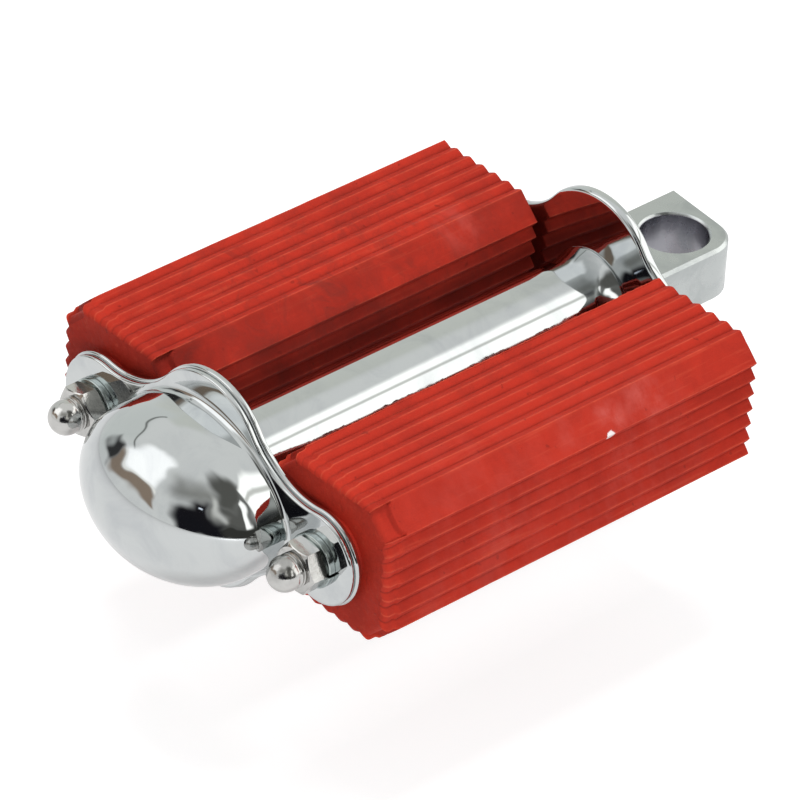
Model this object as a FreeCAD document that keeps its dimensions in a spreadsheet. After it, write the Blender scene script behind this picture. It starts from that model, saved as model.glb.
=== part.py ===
import FreeCAD, Part
import math
import os
import re

import Sketcher

# Rubber-block pedal on a spindle that ends in a drilled lug.
# The origin is the centre of the lug's eye. +Z runs up along the eye, the spindle runs along Y, and the pedal
# lies on the -Y side of the lug. "Outboard" means towards -Y, "right" means towards +X.

SIZES = {
    # spindle and its lug
    "lug_thickness": 13.0,
    "lug_round_side": 10.6,
    "lug_round_end": 9.8,
    "lug_square_side": 12.6,
    "lug_square_end": 12.0,
    "lug_root": 18.35,
    "lug_shoulder": 2.0,
    "lug_corner_radius": 8.0,
    "lug_edge_chamfer": 0.7,
    "eye_radius": 7.5,
    "eye_chamfer": 0.5,
    "spindle_radius": 6.0,
    "thread_radius": 5.0,
    "thread_chamfer": 0.8,
    "thread_past_nut": 1.5,
    # bearings on the spindle
    "running_fit": 0.05,
    "seat_gap": 0.02,
    "end_float": 0.2,
    "thrust_washer_radius": 8.6,
    "thrust_washer_thickness": 1.0,
    "bush_length": 20.0,
    "bush_flange_radius": 9.0,
    "bush_flange_thickness": 1.5,
    "tab_washer_radius": 9.4,
    "tab_washer_thickness": 1.0,
    "tab_width": 6.0,
    "tab_height": 4.0,
    "spindle_nut_flats": 17.0,
    "spindle_nut_height": 8.0,
    # barrel
    "barrel_radius": 10.1,
    "barrel_bore_radius": 7.5,
    "barrel_spigot_radius": 9.3,
    "flare_radius": 11.75,
    "flare_length": 4.2,
    "flare_lip": 0.5,
    # end plates
    "plate_thickness": 2.8,
    "plate_edge_chamfer": 0.7,
    "bolt_spread": 68.0,
    "ear_radius": 10.8,
    "lobe_radius": 17.2,
    "lobe_reach": 25.2,
    "waist_radius": 20.0,
    # dome cap
    "dome_half_length": 25.4,
    "dome_radius": 18.0,
    "dome_skirt": 6.0,
    "dome_wall": 1.3,
    "dome_tip_wall": 2.6,
    "cap_boss_height": 0.8,
    "cap_boss_gap": 0.1,
    # rubber blocks
    "rubber_length": 101.0,
    "rubber_inset": 0.8,
    "rubber_land_radius": 9.0,
    "rubber_land_height": 1.6,
    "rubber_width": 35.2,
    "rubber_height": 33.6,
    "strip_width": 5.5,
    "strip_height": 5.4,
    "groove_depth": 1.6,
    # tie bolts and their nuts
    "bolt_radius": 3.0,
    "bolt_hole_gap": 0.25,
    "bolt_end_chamfer": 0.6,
    "bolt_tip_gap": 1.0,
    "bolt_head_height": 4.0,
    "bolt_flats": 10.0,
    "bolt_washer_radius": 6.2,
    "bolt_washer_thickness": 1.4,
    "spring_washer_radius": 5.9,
    "spring_washer_thickness": 1.5,
    "spring_washer_slit": 0.8,
    "nut_flats": 10.0,
    "nut_hex_height": 4.4,
    "nut_neck_radius": 3.6,
    "nut_neck_height": 0.9,
    "nut_dome_radius": 3.8,
    "nut_dome_rim": 1.4,
    "nut_thread_depth": 7.0,
    "thread_gap": 0.05,
}

# Counts and shares that set how finely a form is divided.
GROOVES_PER_FACE = 6
DOME_CHORDS = 12
DOME_INNER_CHORDS = 6
DOME_FULLNESS = 1.15
DOME_TIP_ANGLE = math.radians(10.0)
CAP_HOLLOW_STEPS = ((0.84, 0.87, 0.42), (0.59, 0.63, 0.74), (0.38, 0.41, 0.89))
NUT_DOME_SIDES = 12
NUT_DOME_RINGS = 3
NUT_DOME_SWEEP = math.radians(72.0)
RUBBER_LAND_SIDES = 20
FLARE_CHORDS = 3
HEX_SIDES = 6
HEX_CHAMFER_SHARE = 0.95
HEX_CHAMFER_SLOPE = 0.577
CUT_OVER = 1.0
SAME_HEIGHT = 0.001

# Turn of each nut and washer slit about its own axis, in degrees, as they happen to be tightened.
LEFT_NUT_TURN = 12.0
RIGHT_NUT_TURN = -4.0
SPINDLE_NUT_TURN = 0.0

VEC = FreeCAD.Vector
doc = FreeCAD.newDocument("block_pedal")
sheet = doc.addObject("Spreadsheet::Sheet", "Sizes")
for row, (alias, number) in enumerate(SIZES.items(), start=1):
    sheet.set(f"A{row}", alias)
    sheet.set(f"B{row}", str(number))
    sheet.setAlias(f"B{row}", alias)
doc.recompute()

# Distances outboard of the eye, as sums of the driving sizes.
PLATE_FACE_IN = "(lug_root + thrust_washer_thickness + end_float + bush_flange_thickness)"
PLATE_GAP = "(rubber_length + 2 * rubber_land_height)"
RUBBER_IN = f"({PLATE_FACE_IN} + plate_thickness)"
RUBBER_OUT = f"({RUBBER_IN} + {PLATE_GAP})"
PLATE_FACE_OUT = f"({RUBBER_OUT} + plate_thickness)"
SPINDLE_STEP = f"({PLATE_FACE_OUT} + bush_flange_thickness + end_float)"
TAB_WASHER_IN = f"({SPINDLE_STEP} + thrust_washer_thickness)"
SPINDLE_NUT_IN = f"({TAB_WASHER_IN} + tab_washer_thickness)"
SPINDLE_END = f"({SPINDLE_NUT_IN} + spindle_nut_height + thread_past_nut)"
BARREL_LENGTH = f"({PLATE_GAP} + 2 * plate_thickness)"
NUT_SEAT = f"({PLATE_FACE_OUT} + spring_washer_thickness)"
BOLT_HEAD_SEAT = f"({PLATE_FACE_IN} - bolt_washer_thickness)"
BOLT_X = "bolt_spread / 2"
BUSH_RADIUS = "(barrel_bore_radius - seat_gap)"
BUSH_BORE = "(spindle_radius + running_fit)"
BOLT_HOLE = "(bolt_radius + bolt_hole_gap)"
THREAD_HOLE = "(bolt_radius + thread_gap)"
LOBE_CENTRE = "(lobe_reach - lobe_radius)"

OUTBOARD = FreeCAD.Rotation(VEC(1, 0, 0), 90)
INBOARD = FreeCAD.Rotation(VEC(1, 0, 0), -90)

sub_parts = []


def cell_name(word):
    return f"Sizes.{word}" if word in SIZES else word


def bound(text):
    """Expression text with each size name pointed at its cell."""
    return re.sub(r"[a-z_]+", lambda word: cell_name(word.group()), text)


def new_body(label, turn=OUTBOARD, out="0", across="0"):
    """A body whose own +Z runs along the spindle, seated a distance outboard of the eye."""
    body = doc.addObject("PartDesign::Body", label)
    body.Label = label
    body.Placement = FreeCAD.Placement(VEC(0, 0, 0), turn)
    body.setExpression("Placement.Base.y", bound(f"-({out})"))
    body.setExpression("Placement.Base.x", bound(across))
    sub_parts.append(body)
    return body


def sketch_on(body, role, lift="0"):
    """A sketch on one of the body's own origin planes, or lifted above it."""
    plane = [item for item in body.Origin.OriginFeatures if item.Role == role][0]
    sketch = body.newObject("Sketcher::SketchObject", f"{body.Label}_sketch")
    sketch.AttachmentSupport = [(plane, "")]
    sketch.MapMode = "FlatFace"
    sketch.setExpression("AttachmentOffset.Base.z", bound(lift))
    return sketch


def tie(sketch, kind, item, end, start, text):
    """A distance from the sketch's origin to a point, begun where the point stands and led by the sheet."""
    number = sketch.addConstraint(Sketcher.Constraint(kind, -1, 1, item, end, start))
    sketch.setExpression(f"Constraints[{number}]", bound(text))


def pin_point(sketch, item, end, x_text, y_text):
    """Hold a point at an x and a y from the sketch's origin."""
    here = sketch.getPoint(item, end)
    if x_text == "0":
        sketch.addConstraint(Sketcher.Constraint("PointOnObject", item, end, -2))
    else:
        tie(sketch, "DistanceX", item, end, here.x, x_text)
    if y_text == "0":
        sketch.addConstraint(Sketcher.Constraint("PointOnObject", item, end, -1))
    else:
        tie(sketch, "DistanceY", item, end, here.y, y_text)


def set_radius(sketch, item, text, guess):
    number = sketch.addConstraint(Sketcher.Constraint("Radius", item, guess))
    sketch.setExpression(f"Constraints[{number}]", bound(text))


def draw_polygon(sketch, corners):
    """A closed run of lines through corners given as pairs of size expressions."""
    count = len(corners)
    start = sketch.GeometryCount
    ring = [VEC(math.cos(math.tau * k / count), math.sin(math.tau * k / count), 0) for k in range(count)]
    for k in range(count):
        sketch.addGeometry(Part.LineSegment(ring[k], ring[(k + 1) % count]), False)
    for k in range(count):
        following = start + (k + 1) % count
        sketch.addConstraint(Sketcher.Constraint("Coincident", start + k, 2, following, 1))
    for k, (x_text, y_text) in enumerate(corners):
        pin_point(sketch, start + k, 1, x_text, y_text)


def draw_circle(sketch, x_text, y_text, radius_text):
    item = sketch.addGeometry(Part.Circle(VEC(0, 0, 0), VEC(0, 0, 1), 1.0), False)
    set_radius(sketch, item, radius_text, 1.0)
    pin_point(sketch, item, 3, x_text, y_text)


def pad(body, sketch, length_text, reverse=False, symmetric=False):
    feature = body.newObject("PartDesign::Pad", f"{body.Label}_pad")
    feature.Profile = sketch
    feature.setExpression("Length", bound(length_text))
    feature.Reversed = reverse
    if symmetric:
        feature.SideType = "Symmetric"
    doc.recompute()
    return feature


def pad_both_ways(body, sketch, ahead_text, behind_text):
    """Grow a sketch by one length ahead of its plane and another behind it."""
    feature = body.newObject("PartDesign::Pad", f"{body.Label}_pad")
    feature.Profile = sketch
    feature.SideType = "Two sides"
    feature.setExpression("Length", bound(ahead_text))
    feature.setExpression("Length2", bound(behind_text))
    doc.recompute()
    return feature


def pocket_through(body, sketch):
    """Cut right through the body, both ways from the sketch."""
    before = body.Shape.Volume
    feature = body.newObject("PartDesign::Pocket", f"{body.Label}_pocket")
    feature.Profile = sketch
    feature.Type = "ThroughAll"
    feature.SideType = "Symmetric"
    doc.recompute()
    if not body.Shape.Volume < before:
        raise RuntimeError(f"{body.Label}: a pocket cut nothing")
    return feature


def pocket_depth(body, sketch, depth_text, reverse):
    before = body.Shape.Volume
    feature = body.newObject("PartDesign::Pocket", f"{body.Label}_pocket")
    feature.Profile = sketch
    feature.setExpression("Length", bound(depth_text))
    feature.Reversed = reverse
    doc.recompute()
    if not body.Shape.Volume < before:
        raise RuntimeError(f"{body.Label}: a pocket cut nothing")
    return feature


def turn_profile(body, corners, kind="PartDesign::Revolution", angle=360.0, role="XZ_Plane", axis="V_Axis"):
    """Add or cut a turned form from corners given as radius and height."""
    before = 0.0 if body.Shape.isNull() else body.Shape.Volume
    sketch = sketch_on(body, role)
    draw_polygon(sketch, corners)
    feature = body.newObject(kind, f"{body.Label}_turned")
    feature.Profile = sketch
    feature.ReferenceAxis = (sketch, [axis])
    feature.Angle = angle
    doc.recompute()
    if kind == "PartDesign::Groove" and not body.Shape.Volume < before:
        raise RuntimeError(f"{body.Label}: a groove cut nothing")
    return feature


def chamfer_edges(body, base, wanted, size_text):
    names = [f"Edge{k}" for k, edge in enumerate(base.Shape.Edges, start=1) if wanted(edge)]
    feature = body.newObject("PartDesign::Chamfer", f"{body.Label}_chamfer")
    feature.Base = (base, names)
    feature.setExpression("Size", bound(size_text))
    doc.recompute()
    if not names or "Invalid" in feature.State:
        raise RuntimeError(f"{body.Label}: a chamfer failed on {len(names)} edges")
    return feature


def lies_flat(edge):
    """True for an edge whose two ends are at one height."""
    return abs(edge.Vertexes[0].Z - edge.Vertexes[-1].Z) < SAME_HEIGHT


def facet_ring(radius_text, sides, centre_text="0"):
    """Corners of a many-sided outline that stands for a circle."""
    corners = []
    for k in range(sides):
        angle = math.tau * (k + 0.5) / sides
        x_text = f"{centre_text} + ({radius_text}) * ({math.cos(angle):.6f})"
        corners.append((x_text, f"({radius_text}) * ({math.sin(angle):.6f})"))
    return corners


def lies_flat_above(edge):
    """True for a level edge above the sketch that its body grew from."""
    return lies_flat(edge) and edge.Vertexes[0].Z > SAME_HEIGHT


def hexagon(flats_text):
    """Corners of a hexagon with two corners on the x axis."""
    corners = []
    for k in range(HEX_SIDES):
        angle = math.tau * k / HEX_SIDES
        reach = f"({flats_text}) / {math.sqrt(3.0):.6f}"
        x_text = f"{reach} * ({math.cos(angle):.6f})"
        y_text = "0" if k % (HEX_SIDES // 2) == 0 else f"{reach} * ({math.sin(angle):.6f})"
        corners.append((x_text, y_text))
    return corners


def chamfer_hexagon(body, flats_text, top_text):
    """Turn the outer corners of a hexagon down to a round face at its top."""
    inner = f"({flats_text}) / 2 * {HEX_CHAMFER_SHARE}"
    outer = f"({flats_text})"
    drop = f"(({outer}) - ({inner})) * {HEX_CHAMFER_SLOPE}"
    corners = [(inner, top_text), (outer, f"({top_text}) - ({drop})"), (outer, top_text)]
    turn_profile(body, corners, kind="PartDesign::Groove")


def ring_corners(inner_text, outer_text, height_text):
    return [(inner_text, "0"), (outer_text, "0"), (outer_text, height_text), (inner_text, height_text)]


def half_oval(half_length_text, rise_text, chords):
    """Points of a long oval from its left tip over the top to its right tip, each tip cut off flat."""
    points = [(f"-({half_length_text})", "0")]
    for k in range(chords + 1):
        angle = DOME_TIP_ANGLE + (math.pi - 2.0 * DOME_TIP_ANGLE) * k / chords
        x_text = f"({half_length_text}) * ({-math.cos(angle) / math.cos(DOME_TIP_ANGLE):.6f})"
        if 2 * k == chords:
            x_text = "0"
        points.append((x_text, f"({rise_text}) * {math.sin(angle) ** DOME_FULLNESS:.6f}"))
    points.append((half_length_text, "0"))
    return points


def whole_oval(half_length_text, rise_text, chords):
    upper = half_oval(half_length_text, rise_text, chords)[1:-1]
    lower = [(x_text, f"-({y_text})") for x_text, y_text in reversed(upper)]
    return upper + lower


def make_spindle():
    """Forged lug with its eye, and the turned shaft that carries the pedal."""
    body = new_body("spindle", turn=FreeCAD.Rotation())
    shoulder_y = "lug_shoulder - lug_root"
    outline = sketch_on(body, "XY_Plane")
    draw_polygon(outline, [
        ("lug_shoulder - lug_square_side", "-lug_root"),
        ("lug_round_side - lug_shoulder", "-lug_root"),
        ("lug_round_side", shoulder_y),
        ("lug_round_side", "lug_round_end"),
        ("-lug_square_side", "lug_square_end"),
        ("-lug_square_side", shoulder_y),
    ])
    block = pad(body, outline, "lug_thickness", symmetric=True)
    corner = [
        f"Edge{k}" for k, edge in enumerate(block.Shape.Edges, start=1)
        if not lies_flat(edge) and edge.BoundBox.XMin > 0 and edge.BoundBox.YMin > 0
    ]
    rounded = body.newObject("PartDesign::Fillet", "spindle_corner")
    rounded.Base = (block, corner)
    rounded.setExpression("Radius", bound("lug_corner_radius"))
    doc.recompute()
    chamfer_edges(body, rounded, lies_flat, "lug_edge_chamfer")
    top = "lug_thickness / 2"
    mouth = f"eye_radius + eye_chamfer + {CUT_OVER}"
    over = f"{top} + {CUT_OVER}"
    turn_profile(body, [
        ("0", f"-({over})"),
        (mouth, f"-({over})"),
        ("eye_radius", f"eye_chamfer - {top}"),
        ("eye_radius", f"{top} - eye_chamfer"),
        (mouth, over),
        ("0", over),
    ], kind="PartDesign::Groove")
    turn_profile(body, [
        ("0", "-lug_root"),
        ("0", f"-{SPINDLE_END}"),
        ("thread_radius - thread_chamfer", f"-{SPINDLE_END}"),
        ("thread_radius", f"thread_chamfer - {SPINDLE_END}"),
        ("thread_radius", f"-{SPINDLE_STEP}"),
        ("spindle_radius", f"-{SPINDLE_STEP}"),
        ("spindle_radius", "-lug_root"),
    ], role="XY_Plane")


def make_thrust_washer(label, out, bore):
    body = new_body(label, out=out)
    turn_profile(body, ring_corners(bore, "thrust_washer_radius", "thrust_washer_thickness"))


def make_tab_washer():
    """Flat ring with one tab bent up beside a flat of the spindle nut."""
    body = new_body("tab_washer", out=TAB_WASHER_IN)
    turn_profile(body, ring_corners("thread_radius + seat_gap", "tab_washer_radius", "tab_washer_thickness"))
    inner = "spindle_nut_flats / 2 + seat_gap"
    outer = f"({inner} + tab_washer_thickness)"
    sketch = sketch_on(body, "XY_Plane")
    draw_polygon(sketch, [
        ("-tab_width / 2", inner),
        ("tab_width / 2", inner),
        ("tab_width / 2", outer),
        ("-tab_width / 2", outer),
    ])
    pad(body, sketch, "tab_washer_thickness + tab_height")


def make_spindle_nut():
    turn = OUTBOARD * FreeCAD.Rotation(VEC(0, 0, 1), SPINDLE_NUT_TURN)
    body = new_body("spindle_nut", turn=turn, out=SPINDLE_NUT_IN)
    outline = sketch_on(body, "XY_Plane")
    draw_polygon(outline, hexagon("spindle_nut_flats"))
    draw_circle(outline, "0", "0", "thread_radius + thread_gap")
    pad(body, outline, "spindle_nut_height")


def flare_corners(near_text, sign):
    """Outline of one flared barrel end, from its lip to the plain tube, along +Z or -Z."""
    swell = "(flare_radius - barrel_radius)"
    corners = [("flare_radius", f"{near_text}")]
    for k in range(FLARE_CHORDS + 1):
        share = k / FLARE_CHORDS
        radius = f"barrel_radius + {swell} * {(1.0 - share) ** 2:.6f}"
        corners.append((radius, f"{near_text} {sign} (flare_lip + flare_length * {share:.6f})"))
    return corners


def make_barrel():
    """Tube between the plates, flared where it meets them, with a spigot in each plate."""
    body = new_body("barrel", out=PLATE_FACE_IN)
    far_seat = f"{BARREL_LENGTH} - plate_thickness"
    corners = [("barrel_bore_radius", "0"), ("barrel_spigot_radius", "0")]
    corners += [("barrel_spigot_radius", "plate_thickness")]
    corners += flare_corners("plate_thickness", "+")
    corners += reversed(flare_corners(far_seat, "-"))
    corners += [("barrel_spigot_radius", far_seat), ("barrel_spigot_radius", BARREL_LENGTH)]
    corners += [("barrel_bore_radius", BARREL_LENGTH)]
    turn_profile(body, corners)


def make_bush(label, turn, out):
    """Flanged bush: its flange stands on the plate's face and its sleeve lines the barrel."""
    body = new_body(label, turn=turn, out=out)
    turn_profile(body, [
        (BUSH_BORE, "0"),
        ("bush_flange_radius", "0"),
        ("bush_flange_radius", "bush_flange_thickness"),
        (BUSH_RADIUS, "bush_flange_thickness"),
        (BUSH_RADIUS, "bush_flange_thickness + bush_length"),
        (BUSH_BORE, "bush_flange_thickness + bush_length"),
    ])


def waist_guess(lobe_sign, ear_sign):
    """Centre of the waist arc that touches a lobe and an ear from outside."""
    lobe_y = lobe_sign * (SIZES["lobe_reach"] - SIZES["lobe_radius"])
    ear_x = ear_sign * SIZES["bolt_spread"] / 2
    to_lobe = SIZES["lobe_radius"] + SIZES["waist_radius"]
    to_ear = SIZES["ear_radius"] + SIZES["waist_radius"]
    span = math.hypot(ear_x, lobe_y)
    along = (to_lobe ** 2 - to_ear ** 2 + span ** 2) / (2 * span)
    aside = math.sqrt(to_lobe ** 2 - along ** 2)
    unit = VEC(ear_x / span, -lobe_y / span, 0)
    normal = VEC(-unit.y, unit.x, 0) * (1 if normal_points_out(unit, lobe_sign) else -1)
    return VEC(0, lobe_y, 0) + unit * along + normal * aside


def normal_points_out(unit, lobe_sign):
    return unit.x * lobe_sign > 0


def arc_between(centre, radius, start, end):
    """Counter-clockwise arc about a centre, from one direction to another."""
    first = math.atan2(start.y - centre.y, start.x - centre.x)
    last = math.atan2(end.y - centre.y, end.x - centre.x)
    circle = Part.Circle(centre, VEC(0, 0, 1), radius)
    return Part.ArcOfCircle(circle, first, last if last > first else last + math.tau)


def draw_plate_outline(sketch):
    """Two ears and two lobes, joined by hollow waists that touch both."""
    ear_x = SIZES["bolt_spread"] / 2
    lobe_y = SIZES["lobe_reach"] - SIZES["lobe_radius"]
    order = [("ear", 1), ("waist", (1, 1)), ("lobe", 1), ("waist", (1, -1))]
    order += [("ear", -1), ("waist", (-1, -1)), ("lobe", -1), ("waist", (-1, 1))]
    centre = []
    radius = []
    for kind, sign in order:
        if kind == "ear":
            centre.append(VEC(sign * ear_x, 0, 0))
        elif kind == "lobe":
            centre.append(VEC(0, sign * lobe_y, 0))
        else:
            centre.append(waist_guess(*sign))
        radius.append(SIZES[f"{kind}_radius"])
    count = len(order)
    touch = []
    for k in range(count):
        following = (k + 1) % count
        share = radius[k] / (radius[k] + radius[following])
        touch.append(centre[k] + (centre[following] - centre[k]) * share)
    for k, (kind, sign) in enumerate(order):
        before, after = touch[k - 1], touch[k]
        if kind == "waist":
            before, after = after, before
        sketch.addGeometry(arc_between(centre[k], radius[k], before, after), False)
    for k, (kind, sign) in enumerate(order):
        following = (k + 1) % count
        leaving = 1 if kind == "waist" else 2
        entering = 2 if order[following][0] == "waist" else 1
        sketch.addConstraint(Sketcher.Constraint("Tangent", k, leaving, following, entering))
        set_radius(sketch, k, f"{kind}_radius", radius[k])
        if kind == "ear":
            pin_point(sketch, k, 3, f"{sign} * {BOLT_X}", "0")
        if kind == "lobe":
            pin_point(sketch, k, 3, "0", f"{sign} * {LOBE_CENTRE}")


def make_plate(label, turn, out):
    """End plate: ears for the tie bolts, lobes above and below, a hole for the barrel's spigot."""
    body = new_body(label, turn=turn, out=out)
    outline = sketch_on(body, "XY_Plane")
    draw_plate_outline(outline)
    blank = pad(body, outline, "plate_thickness")
    chamfer_edges(body, blank, lies_flat_above, "plate_edge_chamfer")
    holes = sketch_on(body, "XY_Plane")
    draw_circle(holes, BOLT_X, "0", BOLT_HOLE)
    draw_circle(holes, f"-{BOLT_X}", "0", BOLT_HOLE)
    draw_circle(holes, "0", "0", "barrel_spigot_radius + seat_gap")
    pocket_through(body, holes)
    return body


def add_cap_boss(body):
    """Low oval boss that the dome cap presses over, bored clear of the bush's flange."""
    sketch = sketch_on(body, "XY_Plane")
    inner_length = "dome_half_length - dome_tip_wall - cap_boss_gap"
    inner_rise = "dome_radius - dome_wall - cap_boss_gap"
    draw_polygon(sketch, whole_oval(inner_length, inner_rise, DOME_INNER_CHORDS))
    draw_circle(sketch, "0", "0", "barrel_spigot_radius + seat_gap")
    pad(body, sketch, "plate_thickness + cap_boss_height")


def make_dome_cap():
    """Oblong cap: a half-turned oval on a straight skirt, hollowed in steps that clear the spindle nut."""
    body = new_body("dome_cap", out=f"{PLATE_FACE_OUT} + dome_skirt")
    turn_profile(body, half_oval("dome_half_length", "dome_radius", DOME_CHORDS),
                 angle=180.0, role="XY_Plane", axis="H_Axis")
    skirt = sketch_on(body, "XY_Plane")
    draw_polygon(skirt, whole_oval("dome_half_length", "dome_radius", DOME_CHORDS))
    pad(body, skirt, "dome_skirt", reverse=True)
    inner_length = "dome_half_length - dome_tip_wall"
    inner_rise = "dome_radius - dome_wall"
    hollow = sketch_on(body, "XY_Plane")
    draw_polygon(hollow, whole_oval(inner_length, inner_rise, DOME_INNER_CHORDS))
    pocket_depth(body, hollow, "dome_skirt", reverse=False)
    for length_share, rise_share, depth_share in CAP_HOLLOW_STEPS:
        step = sketch_on(body, "XY_Plane")
        draw_polygon(step, whole_oval(f"({inner_length}) * {length_share}", f"({inner_rise}) * {rise_share}",
                                      DOME_INNER_CHORDS))
        pocket_depth(body, step, f"({inner_rise}) * {depth_share}", reverse=True)


def groove_corners(index, face):
    """One V groove across a face, numbered from the face's low end."""
    along, strip, across = {
        "top": ("rubber_width", "strip_width", "rubber_height"),
        "side": ("rubber_height", "strip_height", "rubber_width"),
    }[face]
    pitch = f"(({along} - 2 * {strip}) / {GROOVES_PER_FACE})"
    first = f"({strip} - {along} / 2)"
    brim = f"{across} / 2"
    low, middle, high = (f"{first} + {pitch} * {index + step}" for step in (0.0, 0.5, 1.0))
    slope = f"{pitch} / (2 * groove_depth)"
    spread = f"{slope} * {CUT_OVER}"
    return [(f"{low} - {spread}", f"{brim} + {CUT_OVER}"), (middle, f"{brim} - groove_depth"),
            (f"{high} + {spread}", f"{brim} + {CUT_OVER}")]


def make_rubber(label, side):
    """Rubber block: plain strips at its corners, V grooves along its four faces, a land at each end."""
    across = f"{side} * ({BOLT_X} - rubber_inset)"
    body = new_body(label, out=f"{RUBBER_IN} + rubber_land_height", across=across)
    half_width, half_height = "rubber_width / 2", "rubber_height / 2"
    flat_x, flat_y = "(rubber_width / 2 - strip_width)", "(rubber_height / 2 - strip_height)"
    bolt_x = f"{side} * rubber_inset"
    section = sketch_on(body, "XY_Plane")
    draw_polygon(section, [
        (half_width, f"-{flat_y}"), (half_width, flat_y),
        (flat_x, half_height), (f"-{flat_x}", half_height),
        (f"-{half_width}", flat_y), (f"-{half_width}", f"-{flat_y}"),
        (f"-{flat_x}", f"-{half_height}"), (flat_x, f"-{half_height}"),
    ])
    pad(body, section, "rubber_length")
    for step in range(GROOVES_PER_FACE):
        for face in ("top", "side"):
            corners = groove_corners(step, face)
            if face == "side":
                corners = [(y_text, x_text) for x_text, y_text in corners]
            cut_groove(body, corners, 1)
            cut_groove(body, corners, -1)
    land = sketch_on(body, "XY_Plane")
    draw_polygon(land, facet_ring("rubber_land_radius", RUBBER_LAND_SIDES, bolt_x))
    pad_both_ways(body, land, "rubber_length + rubber_land_height", "rubber_land_height")
    bore = sketch_on(body, "XY_Plane")
    draw_circle(bore, bolt_x, "0", BOLT_HOLE)
    pocket_through(body, bore)


def cut_groove(body, corners, sign):
    sketch = sketch_on(body, "XY_Plane")
    draw_polygon(sketch, [(f"{sign} * ({x_text})", f"{sign} * ({y_text})") for x_text, y_text in corners])
    pocket_through(body, sketch)


def make_bolt(label, across):
    """Long tie bolt with its hexagon head at the inboard plate."""
    body = new_body(label, out=BOLT_HEAD_SEAT, across=across)
    grip = f"({BARREL_LENGTH} + bolt_washer_thickness + spring_washer_thickness)"
    reach = f"({grip} + nut_thread_depth - bolt_tip_gap)"
    head = sketch_on(body, "XY_Plane")
    draw_polygon(head, hexagon("bolt_flats"))
    pad(body, head, "bolt_head_height", reverse=True)
    turn_profile(body, [
        ("0", "0"),
        ("bolt_radius", "0"),
        ("bolt_radius", f"{reach} - bolt_end_chamfer"),
        ("bolt_radius - bolt_end_chamfer", reach),
        ("0", reach),
    ])


def make_bolt_washer(label, across):
    body = new_body(label, out=BOLT_HEAD_SEAT, across=across)
    turn_profile(body, ring_corners(BOLT_HOLE, "bolt_washer_radius", "bolt_washer_thickness"))


def make_spring_washer(label, across, turn):
    """Split ring, pressed flat under the nut."""
    tightened = OUTBOARD * FreeCAD.Rotation(VEC(0, 0, 1), turn)
    body = new_body(label, turn=tightened, out=PLATE_FACE_OUT, across=across)
    turn_profile(body, ring_corners(BOLT_HOLE, "spring_washer_radius", "spring_washer_thickness"))
    slit = sketch_on(body, "XY_Plane")
    draw_polygon(slit, [
        ("bolt_radius", "-spring_washer_slit"),
        ("spring_washer_radius * 2", "0"),
        ("spring_washer_radius * 2", "spring_washer_slit"),
        ("bolt_radius", "0"),
    ])
    pocket_through(body, slit)


def add_facet_dome(body, foot_text):
    """Dome of flat facets on a short straight rim, drawn as rings that shrink towards the tip."""
    levels = [("nut_dome_radius", foot_text)]
    for k in range(NUT_DOME_RINGS + 1):
        angle = NUT_DOME_SWEEP * k / NUT_DOME_RINGS
        rise = f"nut_dome_rim + nut_dome_radius * {math.sin(angle) / math.sin(NUT_DOME_SWEEP):.6f}"
        levels.append((f"nut_dome_radius * {math.cos(angle):.6f}", f"{foot_text} + {rise}"))
    rings = []
    for radius_text, lift in levels:
        ring = sketch_on(body, "XY_Plane", lift)
        draw_polygon(ring, facet_ring(radius_text, NUT_DOME_SIDES))
        rings.append(ring)
    dome = body.newObject("PartDesign::AdditiveLoft", f"{body.Label}_dome")
    dome.Profile = rings[0]
    dome.Sections = rings[1:]
    dome.Ruled = True
    doc.recompute()


def make_acorn_nut(label, across, turn):
    """Domed nut: chamfered hexagon, a narrow neck, then a dome over a blind threaded hole."""
    tightened = OUTBOARD * FreeCAD.Rotation(VEC(0, 0, 1), turn)
    body = new_body(label, turn=tightened, out=NUT_SEAT, across=across)
    outline = sketch_on(body, "XY_Plane")
    draw_polygon(outline, hexagon("nut_flats"))
    pad(body, outline, "nut_hex_height")
    chamfer_hexagon(body, "nut_flats", "nut_hex_height")
    neck = sketch_on(body, "XY_Plane")
    draw_polygon(neck, facet_ring("nut_neck_radius", NUT_DOME_SIDES))
    pad(body, neck, "nut_hex_height + nut_neck_height")
    add_facet_dome(body, "nut_hex_height + nut_neck_height")
    turn_profile(body, [
        ("0", f"-{CUT_OVER}"),
        (THREAD_HOLE, f"-{CUT_OVER}"),
        (THREAD_HOLE, "nut_thread_depth"),
        ("0", "nut_thread_depth"),
    ], kind="PartDesign::Groove")


make_spindle()
make_thrust_washer("inboard_thrust_washer", "lug_root", BUSH_BORE)
make_thrust_washer("outboard_thrust_washer", SPINDLE_STEP, "thread_radius + seat_gap")
make_tab_washer()
make_spindle_nut()
make_barrel()
make_bush("inboard_bush", OUTBOARD, f"{PLATE_FACE_IN} - bush_flange_thickness")
make_bush("outboard_bush", INBOARD, f"{PLATE_FACE_OUT} + bush_flange_thickness")
make_plate("inboard_plate", INBOARD, RUBBER_IN)
add_cap_boss(make_plate("outboard_plate", OUTBOARD, RUBBER_OUT))
make_dome_cap()
for side, sign, nut_turn in (("left", "-1", LEFT_NUT_TURN), ("right", "1", RIGHT_NUT_TURN)):
    across = f"{sign} * {BOLT_X}"
    make_rubber(f"{side}_rubber", sign)
    make_bolt(f"{side}_tie_bolt", across)
    make_bolt_washer(f"{side}_bolt_washer", across)
    make_spring_washer(f"{side}_spring_washer", across, nut_turn)
    make_acorn_nut(f"{side}_acorn_nut", across, nut_turn)

doc.recompute()
for item in doc.Objects:
    if "Invalid" in item.State or "Error" in item.State:
        raise RuntimeError(f"{item.Label} did not recompute: {item.State}")
for body in sub_parts:
    if body.Shape.isNull() or not body.Shape.isValid():
        raise RuntimeError(f"{body.Label} has no valid shape")

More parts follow.
